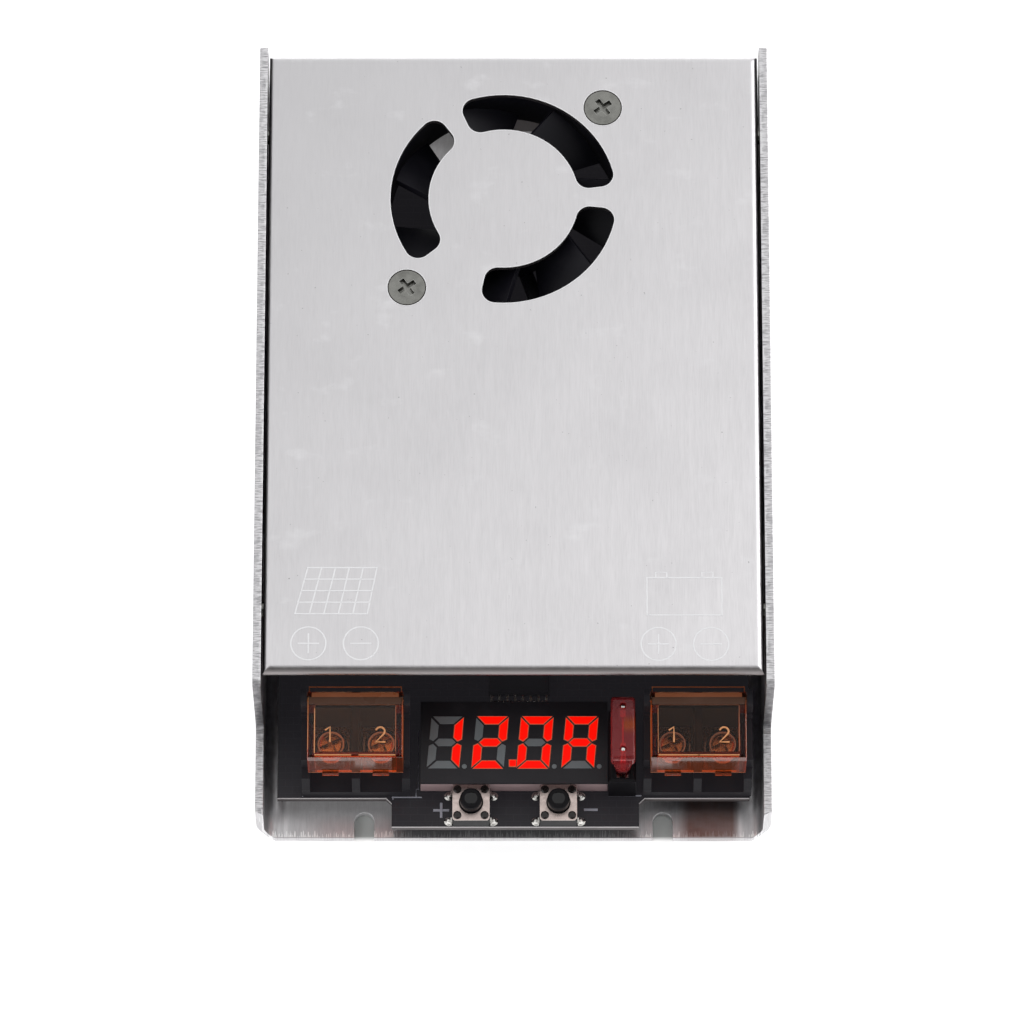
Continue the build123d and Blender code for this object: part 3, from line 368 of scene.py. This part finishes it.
def amber_plastic():
    """Clear amber plastic: painted shade on the right-hand cover, a painted orange glow on the sides and
    front, and a front painted deeper orange that mirrors little, its reflection painted brown.
    """
    skin = clear("cover_amber", srgb(220, 192, 166), srgb(242, 208, 172), srgb(246, 180, 78), 600.0)
    # painted shade: the right-hand cover darker
    right = skin.along(X, -1, 1)
    skin.tint(skin.product(right, 0.6), srgb(180, 164, 156))
    # painted light: the sides and front glow orange, as if lit from within
    skin.set("Emission Color", srgb(255, 150, 84))
    front = skin.span(skin.normal_axis(Y), -0.95, -0.6, 1.0, 0.0)
    caught = skin.math("ADD", skin.product(skin.facing(X, 0.6, 0.9), 0.14), skin.product(front, 0.035))
    skin.set("Emission Strength", caught)
    # painted shade on the right-hand cover's reflection, and a painted brown reflection on the front
    mirror = skin.blend(right, srgb(182, 184, 184), srgb(152, 154, 154))
    skin.set("Specular Tint", skin.blend(front, mirror, srgb(90, 50, 28)))
    # painted reflection: the front deeper orange, for the lit inside seen in it
    skin.tint(front, srgb(226, 124, 70))
    skin.set("Specular IOR Level", skin.span(front, 0.0, 1.0, 0.2, 0.02))
    return skin


def solder_mask():
    """Black board with faint copper tracks under the mask, a painted fill light, and a cut edge whose
    mottled fibre is painted dark as shade, with a pale painted highlight along its top.
    """
    skin = Finish("board_black", srgb(26, 24, 28), 0.36, Specular_IOR_Level=0.25)
    # painted fill light: a faint glow that lifts the board in shade
    skin.set("Emission Color", STRAY)
    skin.set("Emission Strength", 0.011)
    tracks = skin.add("TexBrick", {"Vector": skin.place, "Scale": 210.0, "Mortar Size": 0.012})
    skin.tint(skin.product(tracks.outputs["Fac"], 0.3), srgb(50, 49, 54))
    side = skin.math("SUBTRACT", 1.0, skin.facing(Z, 0.5, 0.6))
    fibre = skin.noise(0.3, 3.0, stretch=(1, 1, 0.4))
    # painted shade: the cut edge's fibre, mottled and dark
    skin.tint(skin.product(side, skin.span(fibre, 0.3, 0.7, 0.5, 1.0)), srgb(62, 56, 54))
    # painted highlight: pale line along the top of the cut edge
    skin.tint(skin.product(side, skin.along(Z, BOARD_TOP - 0.6, BOARD_TOP - 0.4)), srgb(178, 174, 174))
    skin.set("Roughness", skin.span(skin.noise(6.0, 4.0), 0.3, 0.7, 0.34, 0.48))
    skin.relief(tracks.outputs["Fac"], 0.02, 0.3, edge=0.06)
    return skin


def glowing(name, color, strength):
    """Lit segment: deep red, with an orange rim."""
    skin = Finish(name, srgb(120, 4, 0), 0.5, Specular_IOR_Level=0.1)
    glow = skin.noise(2.5, 2.0)
    skin.tint(skin.span(glow, 0.4, 0.7, 0.0, 0.4), srgb(150, 16, 0))
    skin.set("Emission Color", skin.blend(skin.edges(0.12, 0.01, 0.06), color, srgb(206, 96, 52)))
    skin.set("Emission Strength", strength)
    return skin


def clamping():
    """Nickel-plated clamps: washers painted dark as a dark reflection, brighter screw heads with painted
    shade on their sides, and painted highlights along the edges.
    """
    skin = plated("clamp_steel", srgb(236, 222, 200), 0.22, 0.6, ripple=0.1)
    # painted dark reflection on the washers, and painted shade on the heads' sides
    washer = skin.along(Z, 10.62, 10.68, 1.0, 0.0)
    flank = skin.math("SUBTRACT", 1.0, skin.facing(Z, 0.3, 0.6))
    skin.tint(skin.math("MAXIMUM", skin.product(washer, 0.85), flank), srgb(58, 50, 44))
    # painted highlights along the edges
    skin.tint(skin.product(skin.edges(0.22, 0.02, 0.12), 0.75), srgb(250, 238, 214))
    return skin


def wound(name, color):
    """Enamelled wire, darker in patches."""
    skin = Finish(name, color, 0.22, metallic=0.85, Coat_Weight=0.6)
    skin.tint(skin.span(skin.noise(2.0, 3.0), 0.4, 0.7, 0.0, 0.6), srgb(96, 42, 20))
    skin.relief(skin.noise(0.4, 2.0), 0.02, 0.3)
    return skin


FINISHES = {
    "chassis_aluminium": chassis_sheet(),
    "cover_aluminium": cover_sheet(),
    "zinc_screws": plated("zinc_screws", srgb(134, 134, 130), 0.22, 0.5, ripple=0.3),
    "insulating_film": moulded("insulating_film", srgb(30, 30, 33), 0.5),
    "fan_black": moulded("fan_black", srgb(19, 18, 25), 0.4, sheen=1.3, gloss=0.16),
    "bearing_bronze": plated("bearing_bronze", srgb(176, 134, 78), 0.4),
    "laminated_steel": plated("laminated_steel", srgb(130, 130, 136), 0.45),
    "copper_winding": wound("copper_winding", srgb(196, 106, 52)),
    "magnet_ferrite": moulded("magnet_ferrite", srgb(52, 52, 55), 0.55),
    "shaft_steel": plated("shaft_steel", srgb(200, 200, 204), 0.2),
    "wire_red": moulded("wire_red", srgb(178, 30, 26), 0.38),
    "wire_black": moulded("wire_black", srgb(28, 28, 30), 0.38),
    "plug_white": moulded("plug_white", srgb(226, 222, 208), 0.4, sheen=1.05),
    "board_black": solder_mask(),
    "standoff_steel": plated("standoff_steel", srgb(190, 190, 194), 0.3),
    "chip_black": moulded("chip_black", srgb(30, 30, 33), 0.5, stray=0.006),
    "tinned_metal": plated("tinned_metal", srgb(206, 204, 200), 0.26),
    "can_aluminium": plated("can_aluminium", srgb(206, 206, 210), 0.3, 0.8),
    "capacitor_sleeve": moulded("capacitor_sleeve", srgb(26, 30, 44), 0.25, grain=0.01),
    "core_powder": moulded("core_powder", srgb(206, 190, 62), 0.5, sheen=1.2),
    "thermal_pad": moulded("thermal_pad", srgb(134, 142, 150), 0.7, sheen=1.15),
    "shunt_wire": plated("shunt_wire", srgb(178, 138, 104), 0.3),
    "terminal_black": moulded("terminal_black", srgb(19, 18, 21), 0.45, sheen=1.3, gloss=0.1, stray=0.009),
    "display_plastic": moulded("display_plastic", srgb(168, 144, 146), 0.42, sheen=1.2),
    "display_face": moulded("display_face", srgb(33, 31, 35), 0.34, grain=0.01, gloss=0.22),
    "segment_lit": glowing("segment_lit", srgb(255, 10, 0), 0.92),
    "segment_unlit": moulded("segment_unlit", srgb(108, 113, 116), 0.45, sheen=1.1),
    "switch_black": moulded("switch_black", srgb(17, 16, 19), 0.4, grain=0.01, gloss=0.1),
    "switch_steel": plated("switch_steel", srgb(212, 196, 190), 0.34, 0.7),
    "fuse_red": fuse_plastic(),
    "fuse_metal": plated("fuse_metal", srgb(196, 170, 150), 0.3, ripple=0.1),
    "cover_amber": amber_plastic(),
    "clamp_steel": clamping(),
}
EXTRA = {
    # print, and painted highlights round the fan's slots and screws
    "ink_and_glint": moulded("ink_and_glint", srgb(236, 236, 238), 0.5, grain=0.005, sheen=1.02),
    "silkscreen": moulded("silkscreen", srgb(164, 165, 176), 0.6, grain=0.01, sheen=1.1),
    "glow_rim": moulded("glow_rim", srgb(182, 92, 56), 0.5, grain=0.005, sheen=1.1, stray=0.02),
    "solder": plated("solder", srgb(222, 220, 216), 0.16, 0.5),
    "amber_line": moulded("amber_line", srgb(214, 146, 92), 0.3, grain=0.005, sheen=1.15, gloss=0.6),
    "amber_shade": moulded("amber_shade", srgb(92, 64, 50), 0.3, grain=0.005, sheen=1.3, gloss=0.3),
    # painted highlight for screw and clamp rims, glowing a little
    "screw_rim": moulded("screw_rim", srgb(244, 214, 160), 0.3, sheen=0.5, gloss=0.5, stray=0.14),
    "screw_gap": moulded("screw_gap", srgb(34, 27, 24), 0.4, gloss=0.1),
    "amber_dim": moulded("amber_dim", srgb(150, 88, 56), 0.3, grain=0.005, sheen=1.3, gloss=0.5),
    "button_gloss": moulded("button_gloss", srgb(12, 11, 14), 0.07, grain=0.003, gloss=0.36),
    "stake_brown": moulded("stake_brown", srgb(30, 25, 24), 0.25, grain=0.01, gloss=0.4),
}


def dress_nodes():
    """Gives every CAD node the finish of its slot."""
    for entry in frame["record"]["subparts"]:
        mesh = nodes[entry["node"]].data
        mesh.materials.clear()
        mesh.materials.append(FINISHES[entry["material_slot"]].material)


dress_nodes()

# ---------------------------------------------------------------- pieces


def add_piece(name, mesh_maker, finish, body, bevel=0.0, where=()):
    """Object riding on a body, from a function that takes a bmesh to fill and the values in where."""
    mesh = bpy.data.meshes.new(name)
    shape = bmesh.new()
    mesh_maker(shape, *where)
    bmesh.ops.recalc_face_normals(shape, faces=shape.faces)
    shape.to_mesh(mesh)
    shape.free()
    piece = bpy.data.objects.new(name, mesh)
    bpy.context.scene.collection.objects.link(piece)
    mesh.materials.append(finish.material)
    if bevel:
        modifier = piece.modifiers.new("edge", "BEVEL")
        modifier.width, modifier.segments = bevel * MM, 2
    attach(piece, body)


def prism(shape, outline, low, high):
    """Closed prism over an outline of (x, y)."""
    rings = [[shape.verts.new(at(x, y, z)) for x, y in outline] for z in (low, high)]
    count = len(outline)
    for k in range(count):
        a, b = rings[0], rings[1]
        shape.faces.new((a[k], a[(k + 1) % count], b[(k + 1) % count], b[k]))
    shape.faces.new(rings[0][::-1])
    shape.faces.new(rings[1])


def stroke(shape, start, end, width, low, high):
    """Straight line with square ends, half its width past its two points."""
    a, b = Vector(start), Vector(end)
    along = (b - a).normalized() * width / 2
    ribbon(shape, (a - along, b + along), width, low, high)


def ribbon(shape, line, width, low, high):
    """Printed or moulded line along points in the plane, mitred where it turns."""
    points = [Vector(p) for p in line]
    left, right = [], []
    for k, point in enumerate(points):
        before = (point - points[k - 1]).normalized() if k else None
        after = (points[k + 1] - point).normalized() if k + 1 < len(points) else None
        ahead = (before or after) + (after or before)
        side = Vector((-ahead.y, ahead.x)).normalized() * width / 2
        left.append(tuple(point + side))
        right.append(tuple(point - side))
    prism(shape, right + left[::-1], low, high)


def arc(centre, radius, start, end, count=10):
    """Points of an arc, from angles in degrees."""
    turns = [math.radians(start + (end - start) * k / count) for k in range(count + 1)]
    return [(centre[0] + radius * math.cos(t), centre[1] + radius * math.sin(t)) for t in turns]


def ring_faces(shape, loops):
    """Faces round a closed tube of rectangular section, from its four loops of vertices in order."""
    count = len(loops[0])
    for a, b in zip(loops, loops[1:] + loops[:1]):
        for k in range(count):
            n = (k + 1) % count
            shape.faces.new((a[k], a[n], b[n], b[k]))


def hoop(shape, centre, radius, width, low, high):
    """Flat ring."""
    loops = []
    for r in (radius - width / 2, radius + width / 2):
        for z in (low, high):
            loops.append([shape.verts.new(at(*p, z)) for p in arc(centre, r, 0, 360, 48)[:-1]])
    ring_faces(shape, [loops[0], loops[1], loops[3], loops[2]])


def lathe(shape, centre, profile, count=20, squash=1.0):
    """Closed solid of revolution about an upright axis, from (radius, z) pairs, squashed along X."""
    rings = []
    for radius, z in profile:
        if radius == 0:
            rings.append([shape.verts.new(at(*centre, z))])
            continue
        around = arc((0, 0), radius, 0, 360, count)[:-1]
        rings.append([shape.verts.new(at(centre[0] + x * squash, centre[1] + y, z)) for x, y in around])
    for a, b in zip(rings, rings[1:]):
        for k in range(count):
            n = (k + 1) % count
            corners = [a[k % len(a)], a[n % len(a)], b[n % len(b)], b[k % len(b)]]
            unique = list(dict.fromkeys(corners))
            if len(unique) > 2:
                shape.faces.new(unique)


def flat_place(point):
    """Millimetres (x, y) of a point in metres, the way back from at()."""
    return (point.x / MM, point.y / MM + HALF_LENGTH)


def grow(outline, margin):
    """Outline of (x, y) moved outwards by a margin."""
    count = len(outline)
    area = sum(outline[k][0] * outline[(k + 1) % count][1] - outline[(k + 1) % count][0] * outline[k][1]
               for k in range(count))
    sign = 1 if area > 0 else -1
    moved = []
    for k in range(count):
        a, b, c = (Vector(outline[(k + step) % count]) for step in (-1, 0, 1))
        before, after = (b - a).normalized(), (c - b).normalized()
        normal = Vector((before.y + after.y, -before.x - after.x)) * sign
        spread = max(0.5, normal.length_squared / 2)
        moved.append(tuple(b + normal * margin / spread))
    return moved


INK_LOW = COVER_TOP + 0.001
INK_FIRST = (INK_LOW, COVER_TOP + INK)  # strokes that run one way
INK_SECOND = (INK_LOW, COVER_TOP + INK + 0.004)  # strokes that cross them
SCREW_RING = (INK_LOW, COVER_TOP + 0.02)
MARK_WIDTH = 0.24


def panel_mark(shape):
    """Slanted grid that stands for a solar panel."""
    low_left, low_right = (-35.0, 28.1), (-23.4, 28.1)
    high_left, high_right = (-33.0, 36.0), (-21.9, 36.0)

    def between(a, b, t):
        return (a[0] + (b[0] - a[0]) * t, a[1] + (b[1] - a[1]) * t)

    for k in range(6):
        ends = (between(low_left, low_right, k / 5), between(high_left, high_right, k / 5))
        stroke(shape, *ends, MARK_WIDTH, *INK_FIRST)
    for k in range(5):
        ends = (between(low_left, high_left, k / 4), between(low_right, high_right, k / 4))
        stroke(shape, *ends, MARK_WIDTH, *INK_SECOND)


def battery_mark(shape):
    """Outline of a battery with two posts."""
    x0, x1, y0, y1 = 21.4, 33.4, 27.9, 34.3
    for y in (y0, y1):
        stroke(shape, (x0, y), (x1, y), MARK_WIDTH, *INK_FIRST)
    for x in (x0, x1):
        stroke(shape, (x, y0), (x, y1), MARK_WIDTH, *INK_SECOND)
    for x in (x0 + 1.4, x1 - 3.2):
        post = [(x, y1), (x, y1 + 0.9), (x + 1.8, y1 + 0.9), (x + 1.8, y1)]
        ribbon(shape, post, MARK_WIDTH, *INK_SECOND)


def polarity_marks(shape):
    """Rings with plus and minus signs above the terminals."""
    for x, y, plus in ((-32.8, 23.05, 1), (-24.4, 23.05, 0), (23.2, 22.95, 1), (31.6, 22.95, 0)):
        hoop(shape, (x, y), 2.8, MARK_WIDTH, *INK_FIRST)
        stroke(shape, (x - 1.6, y), (x + 1.6, y), MARK_WIDTH, *INK_FIRST)
        if plus:
            stroke(shape, (x, y - 1.6), (x, y + 1.6), MARK_WIDTH, *INK_SECOND)


SLOT_REACH = 19.0  # takes in the fan slots, but not the holes of the fan's screws


def slot_edges(shape, top):
    """Neighbours along the top edges of the lid's fan slots, by vertex."""
    centre = at(*FAN_CENTRE, COVER_TOP)
    neighbours = {}
    for edge in shape.edges:
        if any(abs(v.co.z - top) > WELD for v in edge.verts) or len(edge.link_faces) != 2:
            continue
        flat = [abs(face.normal.z) > 0.9 for face in edge.link_faces]
        if flat[0] != flat[1] and all((v.co - centre).length < SLOT_REACH * MM for v in edge.verts):
            a, b = (v.index for v in edge.verts)
            neighbours.setdefault(a, []).append(b)
            neighbours.setdefault(b, []).append(a)
    return neighbours


def closed_loops(neighbours):
    """Lists of vertices in order round each closed loop."""
    loops = []
    while neighbours:
        loop = [min(neighbours)]
        while neighbours[loop[-1]]:
            step = neighbours[loop[-1]].pop()
            neighbours[step].remove(loop[-1])
            loop.append(step)
        loops.append(loop[:-1])
        neighbours = {k: v for k, v in neighbours.items() if v}
    return loops


def slot_glints(shape):
    """Painted highlight along the cut edge round each fan slot."""
    shape.from_mesh(nodes["top_cover"].data)
    bmesh.ops.remove_doubles(shape, verts=shape.verts, dist=WELD)
    top = max(v.co.z for v in shape.verts)
    loops = closed_loops(slot_edges(shape, top))
    shape.verts.ensure_lookup_table()
    outlines = [[flat_place(shape.verts[k].co) for k in loop] for loop in loops]
    shape.clear()
    for outline in outlines:
        inner, outer = grow(outline, 0.02), grow(outline, 0.17)
        rings = [[shape.verts.new(at(*p, z)) for p in ring] for ring in (inner, outer) for z in INK_FIRST]
        ring_faces(shape, [rings[0], rings[1], rings[3], rings[2]])


def screw_outlines(shape):
    """Painted shade in the gap round the heads of the fan's screws."""
    for centre in FAN_SCREWS:
        hoop(shape, centre, 3.05, 0.13, *SCREW_RING)


def screw_glints(shape):
    """Painted highlight along the edge of the countersink round the fan's screws."""
    for centre in FAN_SCREWS:
        hoop(shape, centre, 3.24, 0.13, *SCREW_RING)


add_piece("slot_glints", slot_glints, EXTRA["ink_and_glint"], "chassis")
add_piece("fan_screw_outlines", screw_outlines, EXTRA["screw_gap"], "chassis")
add_piece("fan_screw_glints", screw_glints, EXTRA["ink_and_glint"], "chassis")

for mark in (panel_mark, battery_mark, polarity_marks):
    add_piece(mark.__name__, mark, EXTRA["ink_and_glint"], "chassis")


def board_marks(shape):
    """Silkscreen beside the buttons and round the parts near the front."""
    low = (BOARD_TOP + 0.001, BOARD_TOP + 0.02)
    raised = (BOARD_TOP + 0.001, BOARD_TOP + 0.025)
    stroke(shape, (-12.75, 2.8), (-10.6, 2.8), 0.42, *low)
    stroke(shape, (-11.68, 1.72), (-11.68, 3.88), 0.42, *raised)
    stroke(shape, (11.6, 2.9), (13.4, 2.9), 0.42, *low)
    stroke(shape, (-19.6, 5.02), (-14.9, 5.02), 0.2, *low)
    stroke(shape, (-19.5, 4.7), (-19.5, 5.1), 0.14, *raised)
    ribbon(shape, [(-15.75, 5.1), (-15.75, 6.4), (-15.4, 6.4), (-15.4, 16.5)], 0.14, *raised)
    stroke(shape, (15.5, 5.3), (20.6, 5.3), 0.22, *low)
    stroke(shape, (15.5, 5.3), (15.5, 7.6), 0.12, *raised)
    stroke(shape, (-34.1, 5.2), (-34.1, 6.4), 0.14, *low)


add_piece("board_marks", board_marks, EXTRA["silkscreen"], "chassis")

BUTTONS = (-6.85, 7.25)
BUTTON_Y = 3.0
PLATE_TOP = 10.4  # of the buttons' steel plates


def button_solder(shape):
    """Blobs of solder where the legs of the buttons go through the board."""
    for x in BUTTONS:
        for side in (-1, 1):
            for step in (-2.15, 2.15):
                place = (x + side * 3.55, BUTTON_Y + step)
                foot = [(0.0, BOARD_TOP), (0.78, BOARD_TOP)]
                lathe(shape, place, foot + [(0.74, 7.12), (0.5, 7.32), (0.3, 7.62), (0, 7.68)], squash=1.1)


add_piece("button_solder", button_solder, EXTRA["solder"], "chassis")


def button_stakes(shape):
    """Melted heads of the four pegs that hold each button's plate."""
    for x in BUTTONS:
        for side in (-2.2, 2.2):
            for step in (-2.2, 2.2):
                foot = [(0, PLATE_TOP), (0.68, PLATE_TOP)]
                profile = foot + [(0.66, 10.58), (0.45, 10.70), (0.2, 10.68), (0, 10.66)]
                lathe(shape, (x + side, BUTTON_Y + step), profile)


add_piece("button_stakes", button_stakes, EXTRA["stake_brown"], "chassis")


def glossy_cap(shape, x):
    """Domed top of a plunger."""
    dome = [(0, 12.56), (0.9, 12.53), (1.35, 12.43), (1.62, 12.24), (1.77, 11.9), (1.79, 11.2), (0, 11.2)]
    lathe(shape, (x, BUTTON_Y), dome, count=40)


for name, x in zip(("button_plus", "button_minus"), BUTTONS):
    add_piece(name + "_cap", glossy_cap, EXTRA["button_gloss"], name, where=(x,))


def chip_solder(shape):
    """Fillets of solder at the front feet of the driver chip."""
    for pin in range(-3, 4):
        fillet = [(0, BOARD_TOP), (0.3, BOARD_TOP), (0.27, 7.12), (0.12, 7.3), (0, 7.32)]
        lathe(shape, (0.9 + pin * 1.27, 21.45), fillet, count=10)


add_piece("chip_solder", chip_solder, EXTRA["solder"], "chassis")


def fuse_test_points(shape):
    """Tops of the fuse's blades, seen in its test holes."""
    for y in (7.65, 14.95):
        lathe(shape, (FUSE_X, y), [(0, 21.1), (0.42, 21.1), (0.42, 22.5), (0.3, 22.78), (0, 22.86)])


add_piece("fuse_test_points", fuse_test_points, EXTRA["solder"], "fuse")

POLES = {"terminal_cover_left": (-29.45, -21.35), "terminal_cover_right": (25.65, 33.75)}
FLAP_TOP = 22.0
FLAP_SURFACE = (FLAP_TOP + 0.002, FLAP_TOP + 0.02)
DIGIT_Y = 10.4


def digit_one(x):
    return [(x - 0.75, DIGIT_Y + 0.75), (x + 0.05, DIGIT_Y + 1.3), (x + 0.05, DIGIT_Y - 1.3)]


def digit_two(x):
    bow = arc((x, DIGIT_Y + 0.55), 0.72, 165, -38, 12)
    return bow + [(x - 0.72, DIGIT_Y - 1.25), (x + 0.85, DIGIT_Y - 1.25)]


def moulded_digits(shape, poles):
    """Pole numbers standing up from a flap."""
    for outline in (digit_one(poles[0]), digit_two(poles[1])):
        ribbon(shape, outline, 0.30, FLAP_TOP + 0.002, FLAP_TOP + 0.16)


def shaded_band(shape, middle):
    """Thick plastic between the cavity and the hinge."""
    ribbon(shape, [(middle - 7.45, 16.22), (middle + 7.45, 16.22)], 1.2, *FLAP_SURFACE)


def bright_edges(shape, middle, left):
    """Edges of the clear flap that gather light, more of them on the left-hand one."""
    gap = 0.7 if left else 0.0
    for side in (-1, 1):
        stroke(shape, (middle + side * gap, 6.98), (middle + side * 6.4, 6.98), 0.2, *FLAP_SURFACE)
    ribbon(shape, [(middle - 6.5, 7.3), (middle - 6.5, 14.9)], 0.16 if left else 0.08, *FLAP_SURFACE)
    if left:
        ribbon(shape, [(middle - 7.56, 8.0), (middle - 7.56, 16.8)], 0.1, *FLAP_SURFACE)


def dim_edges(shape, middle):
    """Painted light, fainter: edges, the tail behind the hinge and the lower edge."""
    rear = [(middle - 6.5, 14.9), (middle - 6.4, 15.5), (middle + 6.5, 15.5)]
    ribbon(shape, rear, 0.09, *FLAP_SURFACE)
    ribbon(shape, [(middle + 6.5, 15.4), (middle + 6.5, 7.6)], 0.14, *FLAP_SURFACE)
    ribbon(shape, [(middle + 7.56, 6.9), (middle + 7.56, 16.8)], 0.08, *FLAP_SURFACE)
    ribbon(shape, [(middle - 7.0, 17.2), (middle + 7.0, 17.2)], 0.75, *FLAP_SURFACE)
    tail = [(middle - 7.4, 17.7), (middle - 7.4, 18.9), (middle + 7.4, 18.9), (middle + 7.4, 17.7)]
    ribbon(shape, tail, 0.22, 20.85, 21.1)
    ribbon(shape, [(middle - 7.62, 6.62), (middle + 7.62, 6.62)], 0.08, 14.58, 14.74)


for flap, poles in POLES.items():
    middle = sum(poles) / 2
    left = flap.endswith("left")
    for suffix, maker, finish, bevel, where in (
        ("_digits", moulded_digits, "amber_line", 0.05, (poles,)),
        ("_band", shaded_band, "amber_shade", 0.0, (middle,)),
        ("_edges", bright_edges, "amber_line", 0.0, (middle, left)),
        ("_dim_edges", dim_edges, "amber_dim", 0.0, (middle,)),
    ):
        add_piece(flap + suffix, maker, EXTRA[finish], flap, bevel, where)


SCREW_HEAD = 12.6
SCREW_Y = 12.0


def bright_rim(shape, x):
    """Painted highlight on the rim of a screw's head."""
    hoop(shape, (x, SCREW_Y), 2.05, 0.22, SCREW_HEAD - 0.05, SCREW_HEAD + 0.03)


def dark_rim(shape, x):
    """Shadowed gap round a screw's head."""
    hoop(shape, (x, SCREW_Y), 2.52, 0.3, SCREW_HEAD - 1.4, SCREW_HEAD - 0.3)


def washer_rim(shape, x):
    """Painted highlight on the edge of the clamp round the back of its screw."""
    ribbon(shape, arc((x, SCREW_Y), 2.82, -10, 190, 24), 0.14, SCREW_HEAD - 1.98, SCREW_HEAD - 1.94)


for number, x in enumerate(POLES["terminal_cover_left"] + POLES["terminal_cover_right"], 1):
    for name, maker, finish, body in (
        (f"terminal_screw_{number}_rim", bright_rim, "screw_rim", f"screw_{number}"),
        (f"terminal_screw_{number}_gap", dark_rim, "screw_gap", f"screw_{number}"),
        (f"clamp_plate_{number}_rim", washer_rim, "screw_rim", f"clamp_{number}"),
    ):
        add_piece(name, maker, EXTRA[finish], body, where=(x,))


def segment_rims(shape):
    """Orange rims of stray light round the lit segments."""
    shape.from_mesh(nodes["display_segments_lit"].data)
    top = max(v.co.z for v in shape.verts)
    low = [v for v in shape.verts if v.co.z < top - 0.02 * MM]
    bmesh.ops.delete(shape, geom=low, context="VERTS")
    bmesh.ops.remove_doubles(shape, verts=shape.verts, dist=WELD)
    bmesh.ops.dissolve_limit(shape, angle_limit=0.02, verts=shape.verts, edges=shape.edges)
    tiles = [[flat_place(v.co) for v in face.verts] for face in shape.faces]
    shape.clear()
    for tile in tiles:
        prism(shape, grow(tile, 0.12), top / MM - 0.045, top / MM - 0.02)


add_piece("segment_rims", segment_rims, EXTRA["glow_rim"], "chassis")

# ---------------------------------------------------------------- floor, light and camera


def add_floor():
    """Plain pale floor, much wider than the view, that glows except under the chassis, where it is painted
    darker as a shadow.
    """
    mesh = bpy.data.meshes.new("floor")
    half = 3.0  # metres
    corners = [(-half, -half, 0), (half, -half, 0), (half, half, 0), (-half, half, 0)]
    mesh.from_pydata(corners, [], [(0, 1, 2, 3)])
    floor = bpy.data.objects.new("floor", mesh)
    bpy.context.scene.collection.objects.link(floor)
    floor.location.z = -0.2 * MM
    paper = Finish("floor", srgb(252, 252, 252), 0.9)
    paper.set("Emission Color", (1, 1, 1, 1))
    beside = paper.span(paper.math("ABSOLUTE", paper.axis(X)), 33 * MM, 35 * MM)
    before = paper.span(paper.math("ABSOLUTE", paper.axis(Y)), 63.2 * MM, HALF_LENGTH * MM)
    outside = paper.math("MAXIMUM", beside, before)
    paper.set("Emission Strength", paper.product(outside, 0.45))
    # painted shadow: darker floor under the chassis
    paper.tint(paper.math("SUBTRACT", 1.0, outside), srgb(184, 187, 185))
    mesh.materials.append(paper.material)


def add_light(name, place, width, height, power):
    """Rectangular lamp that faces the model's origin."""
    light = bpy.data.lights.new(name, "AREA")
    light.shape, light.size, light.size_y = "RECTANGLE", width, height
    light.energy = power
    lamp = bpy.data.objects.new(name, light)
    lamp.location = place
    lamp.rotation_euler = (-Vector(place)).to_track_quat("-Z", "Y").to_euler()
    bpy.context.scene.collection.objects.link(lamp)


SKY = 1.03
DARK_PANELS = (  # direction to the middle, cosines where it starts and is full, and brightness
    ((0.0, -0.5, 0.866), 0.86, 0.92, 0.10),
    ((0.0, -0.96, 0.27), 0.80, 0.95, 0.55),
)


def add_world():
    """White studio with dark panels above and before the front, which bends and edges reflect."""
    world = bpy.data.worlds.new("studio")
    bpy.context.scene.world = world
    world.use_nodes = True
    tree = world.node_tree
    sky = tree.nodes["Background"]
    sky.inputs["Color"].default_value = (1, 1, 1, 1)
    where = tree.nodes.new("ShaderNodeTexCoord")
    strength = None
    for direction, start, full, level in DARK_PANELS:
        toward = tree.nodes.new("ShaderNodeVectorMath")
        toward.operation = "DOT_PRODUCT"
        toward.inputs[1].default_value = direction
        tree.links.new(where.outputs["Generated"], toward.inputs[0])
        panel = tree.nodes.new("ShaderNodeMapRange")
        tree.links.new(toward.outputs["Value"], panel.inputs["Value"])
        for key, value in {"From Min": start, "From Max": full, "To Min": 1.0, "To Max": level}.items():
            panel.inputs[key].default_value = value
        darkened = tree.nodes.new("ShaderNodeMath")
        darkened.operation = "MULTIPLY"
        darkened.inputs[1].default_value = SKY
        if strength:
            tree.links.new(strength, darkened.inputs[1])
        tree.links.new(panel.outputs[0], darkened.inputs[0])
        strength = darkened.outputs[0]
    tree.links.new(strength, sky.inputs["Strength"])


def add_camera():
    """Long lens, looking down at the open end."""
    tilt = math.radians(21.3)
    lens = bpy.data.cameras.new("camera")
    lens.sensor_width, lens.lens = 36.0, 280.3
    lens.clip_end = 20.0
    camera = bpy.data.objects.new("camera", lens)
    camera.location = (-0.24 * MM, -484.4 * MM, 1225.2 * MM)
    camera.rotation_euler = (tilt, 0, 0)
    bpy.context.scene.collection.objects.link(camera)
    bpy.context.scene.camera = camera


add_floor()
add_world()
add_light("key", (-0.6, -0.5, 0.7), 0.5, 0.5, 1.0)
add_light("side", (0.85, 0.35, 0.40), 0.5, 0.8, 2.6)
add_camera()
bpy.context.scene.view_settings.view_transform = "Standard"
